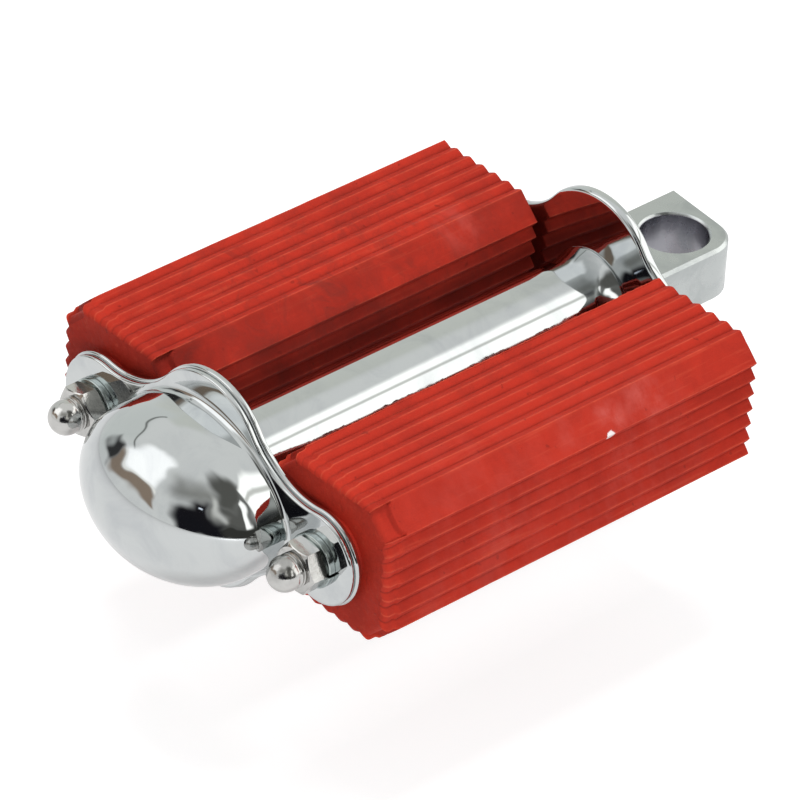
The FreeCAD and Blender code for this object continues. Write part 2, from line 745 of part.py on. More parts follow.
os.makedirs("parts", exist_ok=True)
for body in sub_parts:
    body.Shape.exportStep(f"parts/{body.Label}.step")
    box = body.Shape.BoundBox
    print(f"{body.Label}: {len(body.Shape.Solids)} solid, {body.Shape.Volume:.0f} mm3, "
          f"x {box.XMin:.2f}..{box.XMax:.2f}, y {box.YMin:.2f}..{box.YMax:.2f}, "
          f"z {box.ZMin:.2f}..{box.ZMax:.2f}")
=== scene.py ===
# %% [markdown]
# # Dressing a rubber-block pedal
#
# The imported CAD model gives every solid of the pedal its place and size. Here it gets its looks: chrome,
# worn red rubber, nickel nuts and a satin lug. We load it first and keep its box, which places the table and
# the lamps; each dressed piece takes its size from a CAD node, so the pedal stays the same size.

# %% Load the imported model
import math
from collections import namedtuple

import bmesh
import bpy
from mathutils import Matrix, Vector, noise


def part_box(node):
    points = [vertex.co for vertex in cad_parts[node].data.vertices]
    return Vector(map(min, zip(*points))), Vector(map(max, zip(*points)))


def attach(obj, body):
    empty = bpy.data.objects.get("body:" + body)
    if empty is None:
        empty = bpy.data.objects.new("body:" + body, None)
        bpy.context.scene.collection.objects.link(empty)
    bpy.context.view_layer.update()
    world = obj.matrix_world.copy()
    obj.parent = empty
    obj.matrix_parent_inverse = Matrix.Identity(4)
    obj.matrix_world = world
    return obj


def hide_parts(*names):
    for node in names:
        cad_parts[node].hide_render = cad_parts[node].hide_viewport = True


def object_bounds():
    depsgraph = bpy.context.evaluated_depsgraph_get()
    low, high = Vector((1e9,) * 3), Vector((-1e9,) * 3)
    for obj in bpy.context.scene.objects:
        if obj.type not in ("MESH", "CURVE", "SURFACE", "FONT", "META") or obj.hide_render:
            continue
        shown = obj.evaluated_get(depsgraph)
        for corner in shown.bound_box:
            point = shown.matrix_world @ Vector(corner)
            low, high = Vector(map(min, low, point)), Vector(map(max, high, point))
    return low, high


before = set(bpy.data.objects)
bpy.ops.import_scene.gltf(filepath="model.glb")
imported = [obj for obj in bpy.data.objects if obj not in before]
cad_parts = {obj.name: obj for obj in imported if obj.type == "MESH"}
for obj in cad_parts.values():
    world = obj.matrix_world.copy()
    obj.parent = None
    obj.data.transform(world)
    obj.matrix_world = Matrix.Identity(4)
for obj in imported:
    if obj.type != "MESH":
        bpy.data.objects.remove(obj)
cad_low, cad_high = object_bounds()
MM = 0.001
print("loaded", len(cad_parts), "nodes, box in mm", [round(v / MM, 1) for v in cad_high - cad_low])

# %% [markdown]
# ## Small tools
#
# Every new piece is made the same way: points and faces become a mesh, the mesh becomes an object, and the
# object rides on a CAD body. Points are written in millimetres as (x, out, z), where out is the distance from
# the lug's eye along the spindle, so the numbers read like a drawing. Blender's primitives could make some of
# these shapes, but points let one recipe serve every piece.


# %% Pieces from points and faces
def to_frame(x, out, z):
    """Millimetres on the drawing as metres in the frame."""
    return Vector((x * MM, -out * MM, z * MM))


def add_piece(name, points, faces, body, material, replaced=None, sharp_deg=35.0):
    """A smooth piece that rides on a CAD body, in place of a CAD node if one is named."""
    mesh = bpy.data.meshes.new(name)
    mesh.from_pydata([to_frame(*point) for point in points], [], faces)
    mesh.validate()
    shell = bmesh.new()
    shell.from_mesh(mesh)
    bmesh.ops.recalc_face_normals(shell, faces=shell.faces)
    shell.to_mesh(mesh)
    shell.free()
    mesh.shade_smooth()
    mesh.set_sharp_from_angle(angle=math.radians(sharp_deg))
    mesh.materials.append(material)
    piece = bpy.data.objects.new(name, mesh)
    bpy.context.scene.collection.objects.link(piece)
    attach(piece, body)
    if replaced:
        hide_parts(replaced)
    print("made", name, "with", len(mesh.polygons), "faces")
    return piece


# %% Measures and rings
def box_mm(node):
    """Lowest and highest x, out and z of a CAD node, in millimetres."""
    low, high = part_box(node)
    return (low.x / MM, -high.y / MM, low.z / MM), (high.x / MM, -low.y / MM, high.z / MM)


def middle_x(node):
    """Where the middle of a CAD node lies across the pedal, in millimetres."""
    low, high = box_mm(node)
    return (low[0] + high[0]) / 2


def once_round(sides):
    """Evenly spaced angles, once round a circle."""
    return [2.0 * math.pi * k / sides for k in range(sides)]


def join_rings(first, second, count):
    """Quads between two closed rings of the same number of points."""
    return [(first + k, first + (k + 1) % count, second + (k + 1) % count, second + k) for k in range(count)]


def smooth_step(low, high, value):
    """0 at low and 1 at high, with a soft start and stop."""
    share = min(1.0, max(0.0, (value - low) / (high - low)))
    return share * share * (3.0 - 2.0 * share)


# %% [markdown]
# ## Nodes in a few words
#
# A material is a tree of nodes. It could be drawn by hand in the shader editor; in a script, a few helpers
# that add a node and link it in one line let the materials below read as recipes. All patterns are laid out
# in the object's own coordinates, in metres, so a noise scale of 400 gives spots of about 2.5 mm.

# %% Node helpers
MIX_SHARE, MIX_FIRST, MIX_SECOND, MIX_RESULT = 0, 6, 7, 2


def feed(tree, socket, value):
    """Link another node's output to a socket, or set a constant on it."""
    if isinstance(value, bpy.types.NodeSocket):
        tree.links.new(value, socket)
    else:
        socket.default_value = value


def add_node(tree, kind, **inputs):
    """A node with its inputs fed by name: From_Min is the socket From Min."""
    made = tree.nodes.new(kind)
    for key, value in inputs.items():
        feed(tree, made.inputs[key.replace("_", " ")], value)
    return made


def noise_out(tree, place, scale, detail=4.0, roughness=0.6, distortion=0.0):
    made = add_node(tree, "ShaderNodeTexNoise", Vector=place, Scale=scale, Detail=detail,
                    Roughness=roughness, Distortion=distortion)
    return made.outputs["Fac"]


def remap(tree, value, low, high, to_low, to_high):
    made = add_node(tree, "ShaderNodeMapRange", Value=value, From_Min=low, From_Max=high,
                    To_Min=to_low, To_Max=to_high)
    made.interpolation_type = "SMOOTHSTEP"
    return made.outputs["Result"]


def blend_colour(tree, share, first, second):
    made = tree.nodes.new("ShaderNodeMix")
    made.data_type = "RGBA"
    for socket, value in ((MIX_SHARE, share), (MIX_FIRST, first), (MIX_SECOND, second)):
        feed(tree, made.inputs[socket], value)
    return made.outputs[MIX_RESULT]


def math_out(tree, operation, *values):
    made = tree.nodes.new("ShaderNodeMath")
    made.operation = operation
    for socket, value in zip(made.inputs, values):
        feed(tree, socket, value)
    return made.outputs[0]


def times(tree, first, second):
    return math_out(tree, "MULTIPLY", first, second)


def plus(tree, first, second):
    return math_out(tree, "ADD", first, second)


def stretched_place(tree, place, **inputs):
    return add_node(tree, "ShaderNodeMapping", Vector=place, **inputs).outputs[0]


def bump_out(tree, height, depth, strength=1.0):
    made = add_node(tree, "ShaderNodeBump", Height=height, Distance=depth, Strength=strength)
    return made.outputs["Normal"]


def start_material(name):
    material = bpy.data.materials.new(name)
    material.use_nodes = True
    tree = material.node_tree
    shader = tree.nodes["Principled BSDF"]
    place = tree.nodes.new("ShaderNodeTexCoord").outputs["Object"]
    return material, tree, shader, place


# %% [markdown]
# ## Red rubber
#
# Moulded rubber is matte, with a skin that is never quite even: broad cloudy patches and fine grain. The
# grooves also get painted shade and the crests a painted highlight. Noise alone can't tell a crest from a
# groove, so the mesh code paints both into a colour attribute, with the scuffs and stains, and the shader
# reads them on any side of the block.

# %% Rubber colours and pattern sizes
RUBBER_RED = (0.51, 0.034, 0.018, 1.0)
RUBBER_DEEP = (0.42, 0.030, 0.018, 1.0)
# The crest colour is a paler tone for streaks, and also the painted highlight on crests and strip edges.
RUBBER_PALE_AND_HIGHLIGHT = (0.64, 0.085, 0.045, 1.0)
# The dark colour gives the rubber's dark specks, and also the painted shade in grooves, at ledges and in
# gaps.
RUBBER_DUST_AND_SHADE = (0.15, 0.015, 0.011, 1.0)
RUBBER_STAIN = (0.19, 0.026, 0.019, 1.0)
SCUFF_PINK = (0.55, 0.105, 0.085, 1.0)
NICK_WHITE = (0.84, 0.76, 0.75, 1.0)
CLOUD_SCALE, SHADE_NOISE_SCALE, HIGHLIGHT_NOISE_SCALE, BLOT_SCALE = 55.0, 70.0, 120.0, 150.0
SCUFF_SCALE, PORE_SCALE, SPECK_SCALE, DRAG_SCALE, GRAIN_SCALE = 210.0, 260.0, 420.0, 620.0, 900.0
DRAWN_OUT, LEAN_SCALE, LEAN_RAD = (1.0, 0.06, 1.0), (1.0, 1.0, 0.35), (0.5, 0.0, 0.0)
RUBBER_SHINE = 0.12
SKIN_DEPTH, SKIN_STRENGTH = 0.00012, 0.8
PORE_SHARE, DRAG_SHARE = 1.6, 1.2


# %% The rubber material
def rubber_material():
    material, tree, shader, place = start_material("worn_red_rubber")
    clouds = noise_out(tree, place, CLOUD_SCALE, 6.0, 0.7, 0.6)
    grain = noise_out(tree, place, GRAIN_SCALE, 3.0)
    pores = noise_out(tree, place, PORE_SCALE, 4.0)
    drag = noise_out(tree, stretched_place(tree, place, Scale=DRAWN_OUT), DRAG_SCALE, 4.0, 0.65)
    leaning = stretched_place(tree, place, Rotation=LEAN_RAD, Scale=LEAN_SCALE)
    light_and_wear = tree.nodes.new("ShaderNodeVertexColor")
    light_and_wear.layer_name = "PaintedLightAndWear"
    marks = tree.nodes.new("ShaderNodeSeparateColor")
    tree.links.new(light_and_wear.outputs["Color"], marks.inputs[0])
    # Red is the painted highlight, green the painted shade and the strips' darkening, blue the scuffs, alpha
    # the stains.
    crest, groove, scuff = (marks.outputs[name] for name in ("Red", "Green", "Blue"))
    stain = light_and_wear.outputs["Alpha"]
    crest_highlight_noise = remap(tree, noise_out(tree, place, HIGHLIGHT_NOISE_SCALE), 0.35, 0.6, 0.25, 1.0)
    shade_amount = remap(tree, noise_out(tree, place, SHADE_NOISE_SCALE), 0.35, 0.65, 0.3, 0.8)
    blots = remap(tree, noise_out(tree, place, BLOT_SCALE, 6.0, 0.75, 0.8), 0.42, 0.68, 0.0, 0.8)
    specks = remap(tree, noise_out(tree, place, SPECK_SCALE, 2.0, 0.5), 0.69, 0.75, 0.0, 0.45)
    rubbed = remap(tree, noise_out(tree, leaning, SCUFF_SCALE, 5.0, 0.6), 0.36, 0.70, 0.1, 0.9)
    layers = (
        (remap(tree, clouds, 0.38, 0.68, 0.0, 0.9), RUBBER_DEEP),
        (remap(tree, drag, 0.54, 0.72, 0.0, 0.6), RUBBER_DEEP),
        (remap(tree, drag, 0.44, 0.28, 0.0, 0.35), RUBBER_PALE_AND_HIGHLIGHT),
        # Painted highlight on the crests and along the strips' upper edges.
        (times(tree, crest, crest_highlight_noise), RUBBER_PALE_AND_HIGHLIGHT),
        # Painted shade: grooves, panel ledges, under the strips' lower edges, the left block's inner side,
        # the seats by the plates, the end faces and the flash's free edge. On the strips it is also a plain
        # darkening.
        (times(tree, groove, shade_amount), RUBBER_DUST_AND_SHADE),
        (times(tree, blots, stain), RUBBER_STAIN),
        (specks, RUBBER_DUST_AND_SHADE),
        (times(tree, rubbed, scuff), SCUFF_PINK),
        (remap(tree, scuff, 1.3, 1.8, 0.0, 1.0), NICK_WHITE),
    )
    colour = RUBBER_RED
    for share, over in layers:
        colour = blend_colour(tree, share, colour, over)
    tree.links.new(colour, shader.inputs["Base Color"])
    tree.links.new(remap(tree, clouds, 0.3, 0.7, 0.52, 0.70), shader.inputs["Roughness"])
    shader.inputs["Specular IOR Level"].default_value = RUBBER_SHINE
    skin = plus(tree, grain, times(tree, pores, PORE_SHARE))
    skin = plus(tree, skin, times(tree, drag, DRAG_SHARE))
    tree.links.new(bump_out(tree, skin, SKIN_DEPTH, SKIN_STRENGTH), shader.inputs["Normal"])
    print("material", material.name, "with", len(layers), "layers of colour")
    return material


RED_RUBBER = rubber_material()

# %% [markdown]
# ## Chrome, nickel, zinc, bronze and the forged lug
#
# Bright metals take their look from what they mirror, so their recipes are short: a metallic shader, a
# roughness that wanders a little with handling, and a very shallow bump for the polisher's waves. One recipe
# with other numbers serves them all. Nickel is warmer and duller than chrome, zinc greyer, and the forged lug
# has brush lines.

# %% The metals
EVEN, BRUSHED = (1.0, 1.0, 1.0), (1.0, 0.25, 1.0)
POLISH_WAVE, FORGED_WAVE = 0.00003, 0.00004
SMUDGE_SCALE, LINES_PER_WAVE = 90.0, 9.0


def metal_material(name, light, dark, rough, wave, wave_scale, stretch=EVEN, fine=0.0):
    """Smudges go from light to dark and from the first roughness to the second; fine adds brush lines."""
    material, tree, shader, place = start_material(name)
    shader.inputs["Metallic"].default_value = 1.0
    smudge = noise_out(tree, place, SMUDGE_SCALE, 5.0, 0.6, 0.8)
    colour = blend_colour(tree, remap(tree, smudge, 0.4, 0.75, 0.0, 1.0), light, dark)
    tree.links.new(colour, shader.inputs["Base Color"])
    tree.links.new(remap(tree, smudge, 0.35, 0.75, *rough), shader.inputs["Roughness"])
    stretched = stretched_place(tree, place, Scale=stretch)
    height = noise_out(tree, stretched, wave_scale, 2.0)
    if fine:
        lines = noise_out(tree, stretched, wave_scale * LINES_PER_WAVE, 3.0)
        height = plus(tree, height, times(tree, lines, fine))
    tree.links.new(bump_out(tree, height, wave), shader.inputs["Normal"])
    return material


CHROME = metal_material("bright_chrome", (0.57, 0.59, 0.59, 1.0), (0.50, 0.52, 0.53, 1.0),
                        rough=(0.025, 0.07), wave=POLISH_WAVE, wave_scale=60.0)
NICKEL = metal_material("dull_nickel", (0.56, 0.555, 0.54, 1.0), (0.40, 0.395, 0.385, 1.0),
                        rough=(0.09, 0.20), wave=POLISH_WAVE, wave_scale=300.0, fine=0.4)
ZINC = metal_material("grey_zinc", (0.46, 0.51, 0.50, 1.0), (0.28, 0.32, 0.32, 1.0),
                      rough=(0.12, 0.26), wave=POLISH_WAVE, wave_scale=400.0, fine=0.5)
LUG = metal_material("forged_lug", (0.52, 0.545, 0.54, 1.0), (0.43, 0.455, 0.455, 1.0),
                     rough=(0.24, 0.36), wave=FORGED_WAVE, wave_scale=220.0, stretch=BRUSHED, fine=0.5)
BRONZE = metal_material("oiled_bronze", (0.62, 0.42, 0.20, 1.0), (0.42, 0.27, 0.12, 1.0),
                        rough=(0.25, 0.40), wave=POLISH_WAVE, wave_scale=300.0)
print("metals:", [metal.name for metal in (CHROME, NICKEL, ZINC, LUG, BRONZE)])

# %% The lug's drilled eye
EYE_BORE = (0.33, 0.33, 0.36, 1.0)
EYE_RADIUS = 7.5 * MM
BORE_EDGE = (0.05 * MM, 0.2 * MM)


def darken_eye(material):
    """The bore is left as cut: greyer than the polished faces, within the eye's radius of the origin."""
    tree = material.node_tree
    shader = tree.nodes["Principled BSDF"]
    place = tree.nodes.new("ShaderNodeTexCoord").outputs["Object"]
    split = add_node(tree, "ShaderNodeSeparateXYZ", Vector=place)
    across = times(tree, split.outputs["X"], split.outputs["X"])
    along = times(tree, split.outputs["Y"], split.outputs["Y"])
    away = math_out(tree, "SQRT", plus(tree, across, along))
    inside = remap(tree, away, EYE_RADIUS + BORE_EDGE[0], EYE_RADIUS + BORE_EDGE[1], 1.0, 0.0)
    polished = shader.inputs["Base Color"].links[0].from_socket
    tree.links.new(blend_colour(tree, inside, polished, EYE_BORE), shader.inputs["Base Color"])
    print("darkened the bore of", material.name)


darken_eye(LUG)

# %% [markdown]
# ## The ribbed rubber blocks
#
# A block is moulded in one piece, with six V grooves on each face and a plain strip at each corner. Grooves
# could be cut with a boolean, but a worn groove is never the same twice, so we draw the outline of the block
# and sweep it along the spindle. The tread on top is worn to shallower grooves than the sides, the crests
# wander a little, and each strip stops short of the outboard end in a round-cornered panel.

# %% The outline of a block
# A rib is a point of the outline with its way out, its groove's depth and the share of it that is left at the
# outboard end, its crest from 0 to 1, its place across a corner strip from -1 to 1, and its face.
Rib = namedtuple("Rib", "x z way groove end_share crest strip face")
STRIP_WIDTH, STRIP_HEIGHT, STRIP_CREST = 5.5, 5.4, 0.35
GROOVES, TREAD_DEPTH, SIDE_DEPTH = 6, 0.95, 1.55
SLOPE_STEPS, STRIP_STEPS = 8, 14
TREAD_ROUND, SIDE_ROUND = 1.25, 1.05
END_SHARES = (0.4, 0.62, 0.95, 0.95)
RIGHT_SIDE = 1


def face_run(half_long, deep, rounded):
    """A face from its low to its high end, as (along, groove depth, crest), rounded between the grooves."""
    pitch = 2.0 * half_long / GROOVES
    run = []
    for step in range(2 * SLOPE_STEPS * GROOVES + 1):
        share = (step % (2 * SLOPE_STEPS)) / SLOPE_STEPS
        share = share if share <= 1.0 else 2.0 - share
        run.append((-half_long + pitch * step / (2 * SLOPE_STEPS), deep * share ** rounded, 1.0 - share))
    return run


def block_outline(half_width, half_height):
    """Ribs once round the block from the top, each face followed by the strip at its far corner."""
    flat_x, flat_z = half_width - STRIP_WIDTH, half_height - STRIP_HEIGHT
    sides = (
        (lambda a, h: (a, h), (flat_x, half_height), (half_width, flat_z)),
        (lambda a, h: (h, -a), (half_width, -flat_z), (flat_x, -half_height)),
        (lambda a, h: (-a, -h), (-flat_x, -half_height), (-half_width, -flat_z)),
        (lambda a, h: (-h, a), (-half_width, flat_z), (-flat_x, half_height)),
    )
    outline = []
    for face, (turn, (ax, az), (bx, bz)) in enumerate(sides):
        if face % 2:
            brim, run = half_width, face_run(flat_z, SIDE_DEPTH, SIDE_ROUND)
        else:
            brim, run = half_height, face_run(flat_x, TREAD_DEPTH, TREAD_ROUND)
        way = turn(0.0, 1.0)
        for along, deep, crest in run:
            outline.append(Rib(*turn(along, brim), way, deep, END_SHARES[face], crest, None, face))
        length = math.dist((ax, az), (bx, bz))
        way = ((az - bz) / length, (bx - ax) / length)
        for step in range(STRIP_STEPS):
            share = (step + 0.5) / STRIP_STEPS
            x, z = ax + (bx - ax) * share, az + (bz - az) * share
            outline.append(Rib(x, z, way, 0.0, 1.0, STRIP_CREST, 2.0 * share - 1.0, face))
    return outline


# %% Where a block is worn, and where it gets painted light and shade
PANEL_END, PANEL_CORNER, PANEL_DEPTH = 3.2, 2.4, 0.9
PANEL_STEP = (-0.2, 0.35)
PANEL_FADE = (4.5, 1.0)
WORN_DEPTH, WORN_LENGTH = 0.82, 12.0
CREST_LOSS, CREST_FROM, RIPPLE = 0.35, 0.4, 0.05
WAVE_ACROSS, WAVE_ALONG, RIPPLE_SCALE = 0.11, 0.045, 5.0
# Painted shade at the bottom of the grooves, on the side faces and on the top and bottom faces.
SIDE_GROOVE_SHADE, TREAD_GROOVE_SHADE = 0.8, 0.65
# Each mark is its middle, size and strength; where a scuff is stronger than 1.3 it is a white nick.
SCUFFS = (((48.5, 65.2, 13.7), 5.5, 0.9), ((48.8, 55.5, 13.4), 8.0, 0.8), ((47.2, 76.0, 15.0), 7.0, 0.35),
          ((50.8, 62.0, 2.0), 11.0, 0.5), ((50.8, 94.0, 0.0), 11.0, 0.35), ((51.0, 66.8, 11.3), 2.0, 2.4),
          ((-20.1, 44.0, 15.8), 8.0, 0.4), ((50.8, 60.0, -3.0), 30.0, 0.28),
          ((50.8, 100.0, -3.0), 34.0, 0.25))
STAINS = (((-18.3, 75.0, 14.1), 70.0, 0.55), ((-18.0, 82.0, 13.8), 16.0, 0.85),
          ((-18.3, 101.0, 14.1), 14.0, 0.7), ((-17.0, 62.0, 12.8), 14.0, 0.6),
          ((-35.0, 47.0, 16.8), 8.0, 0.6), ((27.0, 49.0, 16.8), 9.0, 0.3), ((-19.0, 118.0, 14.0), 8.0, 0.8))


def panel_drop(strip, from_end):
    """0 on the strip's round-cornered panel and 1 beyond it, near the block's outboard end."""
    half = (STRIP_WIDTH ** 2 + STRIP_HEIGHT ** 2) ** 0.5 / 2.0
    side = max(0.0, abs(strip) * half - (half - PANEL_CORNER))
    end = max(0.0, PANEL_END + PANEL_CORNER - from_end)
    away = math.hypot(side, end) - PANEL_CORNER
    near_end = smooth_step(PANEL_END + PANEL_FADE[0], PANEL_END + PANEL_FADE[1], from_end)
    return smooth_step(*PANEL_STEP, away) * near_end * smooth_step(1.0, 0.9, abs(strip))


def moulding_loss(rib, spot):
    """Rubber missing at a point through ripples in the moulding and wear of the crest."""
    ripple = RIPPLE * noise.noise(spot * RIPPLE_SCALE)
    return ripple + CREST_LOSS * max(0.0, noise.noise(spot)) * max(0.0, rib.crest - CREST_FROM)


def highlight_and_shade(rib, drop, strip_darkening, side_shade):
    """How much painted highlight and painted shade a point gets, by its place on the outline."""
    if rib.strip is not None:
        # A strip gets a painted highlight along its upper edge, and painted shade at its panel's ledge and
        # along its lower edge.
        ledge_shade, edge = 1.1 * min(drop, 1.3 - drop), 0.5 * smooth_step(0.88, 1.0, rib.strip)
        return 0.25 * smooth_step(0.8, 1.0, -rib.strip), max(strip_darkening, ledge_shade, edge)
    # A rib gets a painted highlight on its crest and painted shade in its groove.
    deepest = SIDE_GROOVE_SHADE if rib.face % 2 else TREAD_GROOVE_SHADE
    shade_amount = deepest * smooth_step(0.2, 0.0, rib.crest)
    return smooth_step(0.84, 1.0, rib.crest), max(shade_amount, side_shade if rib.face == RIGHT_SIDE else 0.0)


def strongest(spots, place):
    """The strongest mark at a place, each mark fading out from its own middle."""
    return max(strength * (1.0 - smooth_step(size * 0.3, size, math.dist(place, middle)))
               for middle, size, strength in spots)


def paint_light_and_wear(piece, marks):
    """Give every point its (painted highlight, painted shade, scuff, stain), for the rubber's shader to read.
    """
    paint = piece.data.color_attributes.new("PaintedLightAndWear", "FLOAT_COLOR", "POINT")
    paint.data.foreach_set("color", [value for mark in marks for value in mark])


# %% Sweep the outline into a block
INNER_ROUND, OUTER_ROUND = 0.3, 1.3
END_FADE, END_FADED, END_BORDER = 5.0, 1.5, 0.45
BORDER_STEP = (0.5, -0.7)
INNER_EDGE = (0.0, 0.06, 0.16, 0.3)
OUTER_EDGE = (1.1, 0.8, 0.55, 0.35, 0.17, 0.05, 0.0)
STATIONS, FINE_STATIONS, FINE_STEP, FINE_LENGTH = 100, 33, 0.2, 8.0
LAND_HEIGHT, LAND_RADIUS, LAND_SIDES, LAND_SUNK = 1.6, 9.0, 64, 0.1
# The end faces get a little painted shade and a stain; the seats in the gap by the plates get full painted
# shade.
CAP_SHADE_AND_STAIN, LAND_SHADE = (0.0, 0.12, 0.0, 0.25), (0.0, 1.0, 0.0, 0.0)


def stations(long):
    """Distances from the inboard end at which the outline is drawn, closest at the outboard end."""
    first = INNER_EDGE[-1]
    even = [first + (long - FINE_LENGTH - first) * k / STATIONS for k in range(1, STATIONS + 1)]
    fine = [long - FINE_LENGTH + FINE_STEP * k for k in range(1, FINE_STATIONS + 1)]
    return [*INNER_EDGE, *even, *fine, *(long - back for back in OUTER_EDGE)]


def end_inset(from_start, to_outboard):
    """How far the outline draws in for the round of the nearer end and the outboard border."""
    inboard = from_start < to_outboard
    edge, from_end = (INNER_ROUND, from_start) if inboard else (OUTER_ROUND, to_outboard)
    round_off = edge - math.sqrt(max(0.0, edge ** 2 - max(0.0, edge - from_end) ** 2))
    border = smooth_step(PANEL_END + BORDER_STEP[0], PANEL_END + BORDER_STEP[1], to_outboard)
    return round_off + END_BORDER * border


def add_lands(points, light_and_wear, faces, bolt_x, ends):
    """The round seats that stand out of a block's ends around its tie bolt."""
    for land in ends:
        base, tip = len(points), len(points) + LAND_SIDES
        for out in land:
            points += [(bolt_x + LAND_RADIUS * math.cos(angle), out, LAND_RADIUS * math.sin(angle))
                       for angle in once_round(LAND_SIDES)]
            light_and_wear += [LAND_SHADE] * LAND_SIDES
        faces += join_rings(base, tip, LAND_SIDES)
        faces.append(tuple(range(tip, tip + LAND_SIDES)))
        faces.append(tuple(range(base, tip)))


# The strips of each block are darkened all over by the amount given for that block.
def make_block(node, name, strip_darkening, side_shade):
    low, high = box_mm(node)
    block_x, half_width, half_height = middle_x(node), (high[0] - low[0]) / 2, (high[2] - low[2]) / 2
    start, end = low[1] + LAND_HEIGHT, high[1] - LAND_HEIGHT
    outline, spread = block_outline(half_width, half_height), stations(end - start)
    count = len(outline)
    points, light_and_wear, faces = [], [], []
    for from_start in spread:
        out, to_outboard = start + from_start, end - start - from_start
        worn = 1.0 - (1.0 - WORN_DEPTH) * smooth_step(0.0, WORN_LENGTH, from_start)
        fade = smooth_step(END_FADE, END_FADED, to_outboard)
        inset = end_inset(from_start, to_outboard)
        for rib in outline:
            spot = Vector((rib.x * WAVE_ACROSS + block_x, out * WAVE_ALONG, rib.z * WAVE_ACROSS))
            drop = 0.0 if rib.strip is None else panel_drop(rib.strip, to_outboard)
            loss = rib.groove * worn * (1.0 + (rib.end_share - 1.0) * fade) + moulding_loss(rib, spot)
            loss = max(0.0, loss + PANEL_DEPTH * drop)
            across, up = rib.x * (1.0 - inset / half_width), rib.z * (1.0 - inset / half_height)
            points.append((block_x + across - rib.way[0] * loss, out, up - rib.way[1] * loss))
            place = (block_x + rib.x, out, rib.z)
            marks = strongest(SCUFFS, place), strongest(STAINS, place)
            light_and_wear.append((*highlight_and_shade(rib, drop, strip_darkening, side_shade), *marks))
    last = (len(spread) - 1) * count
    for row in range(0, last, count):
        faces += join_rings(row, row + count, count)
    for first in (0, last):
        faces.append(tuple(range(len(points), len(points) + count)))
        points += points[first:first + count]
        light_and_wear += [CAP_SHADE_AND_STAIN] * count
    add_lands(points, light_and_wear, faces, middle_x(node.replace("rubber", "acorn_nut")),
              ((start + LAND_SUNK, low[1]), (end - LAND_SUNK, high[1])))
    piece = add_piece(name, points, faces, "pedal", RED_RUBBER, node, sharp_deg=26.0)
    paint_light_and_wear(piece, light_and_wear)


# The left block's inner side, which faces the right block, gets painted shade.
make_block("left_rubber", "left_block", strip_darkening=0.65, side_shade=0.65)
make_block("right_rubber", "right_block", strip_darkening=0.28, side_shade=0.0)

# %% [markdown]
# ## Moulding flash
#
# Where the two halves of the mould met, a thin ragged lip of rubber is left along the inner top edge. A
# displaced strip would tear evenly; a ribbon of our own points can have a free edge that goes in and out with
# three sizes of noise, by 1.3 mm at most.

# %% A ragged ribbon
FLASH_STEPS, FLASH_ROOT, FLASH_REACH, FLASH_THICK = 420, 0.35, 0.95, 0.18
FLASH_IN, FLASH_DOWN, FLASH_START, FLASH_SHORT = 0.3, 0.22, 0.6, 3.9
# The lip's free edge gets painted shade for its shaded underside; its root gets a little painted highlight
# and shade.
FLASH_ROOT_LIGHT_AND_SHADE, FLASH_TIP_SHADE = (0.1, 0.1, 0.0, 0.0), (0.0, 0.9, 0.0, 0.0)


def ragged(out):
    """How far the lip reaches, and how far it droops for each millimetre, at one place."""
    torn = noise.noise(Vector((out * 0.11, 3.0, 1.0))) + 0.6 * noise.noise(Vector((out * 0.7, 7.0, 2.0)))
    torn += 0.35 * noise.noise(Vector((out * 2.1, 1.0, 4.0)))
    reach = FLASH_ROOT + FLASH_REACH * min(1.0, max(0.0, 0.45 + 0.9 * torn))
    return reach, 0.30 + 0.25 * noise.noise(Vector((out * 0.5, 1.0, 5.0)))


def make_flash(node, name):
    low, high = box_mm(node)
    edge_x, top = low[0] + STRIP_WIDTH + FLASH_IN, high[2] - FLASH_DOWN
    long = high[1] - low[1] - 2 * LAND_HEIGHT - FLASH_SHORT
    points, light_and_wear, faces = [], [], []
    for k in range(FLASH_STEPS + 1):
        out = low[1] + LAND_HEIGHT + FLASH_START + long * k / FLASH_STEPS
        reach, droop = ragged(out)
        for half in (FLASH_THICK, -FLASH_THICK):
            points.append((edge_x, out, top + half))
            points.append((edge_x - reach, out, top - droop * reach + half * 0.5))
            light_and_wear += [FLASH_ROOT_LIGHT_AND_SHADE, FLASH_TIP_SHADE]
    for k in range(FLASH_STEPS):
        a, b = 4 * k, 4 * k + 4
        faces += [(a, b, b + 1, a + 1), (a + 2, a + 3, b + 3, b + 2), (a + 1, b + 1, b + 3, a + 3)]
    piece = add_piece(name, points, faces, "pedal", RED_RUBBER)
    paint_light_and_wear(piece, light_and_wear)


make_flash("right_rubber", "right_flash")

# %% [markdown]
# ## The end plates
#
# Both plates are pressed to one outline: a round ear over each tie bolt, a round lobe above and below the
# spindle, and a hollow waist between. A curve object could be traced by eye, but arcs that touch without a
# kink give the chrome edge one unbroken line of light. The edge itself is rounded, and the outboard plate is
# two sheets thick.

# %% The plates' outline
LOBE_RADIUS, WAIST_RADIUS = 17.2, 20.0
ARC_STEP, FEWEST_STEPS = 0.7, 4


def arc_points(centre, radius, first, last, hollow=False):
    """Points on an arc with the way out of the plate at each; a hollow arc faces its own centre."""
    steps = max(FEWEST_STEPS, round(abs(last - first) * radius / ARC_STEP))
    run = []
    for k in range(steps):
        angle = first + (last - first) * k / steps
        way = (math.cos(angle), math.sin(angle))
        spot = (centre[0] + radius * way[0], centre[1] + radius * way[1])
        run.append((spot, (-way[0], -way[1]) if hollow else way))
    return run


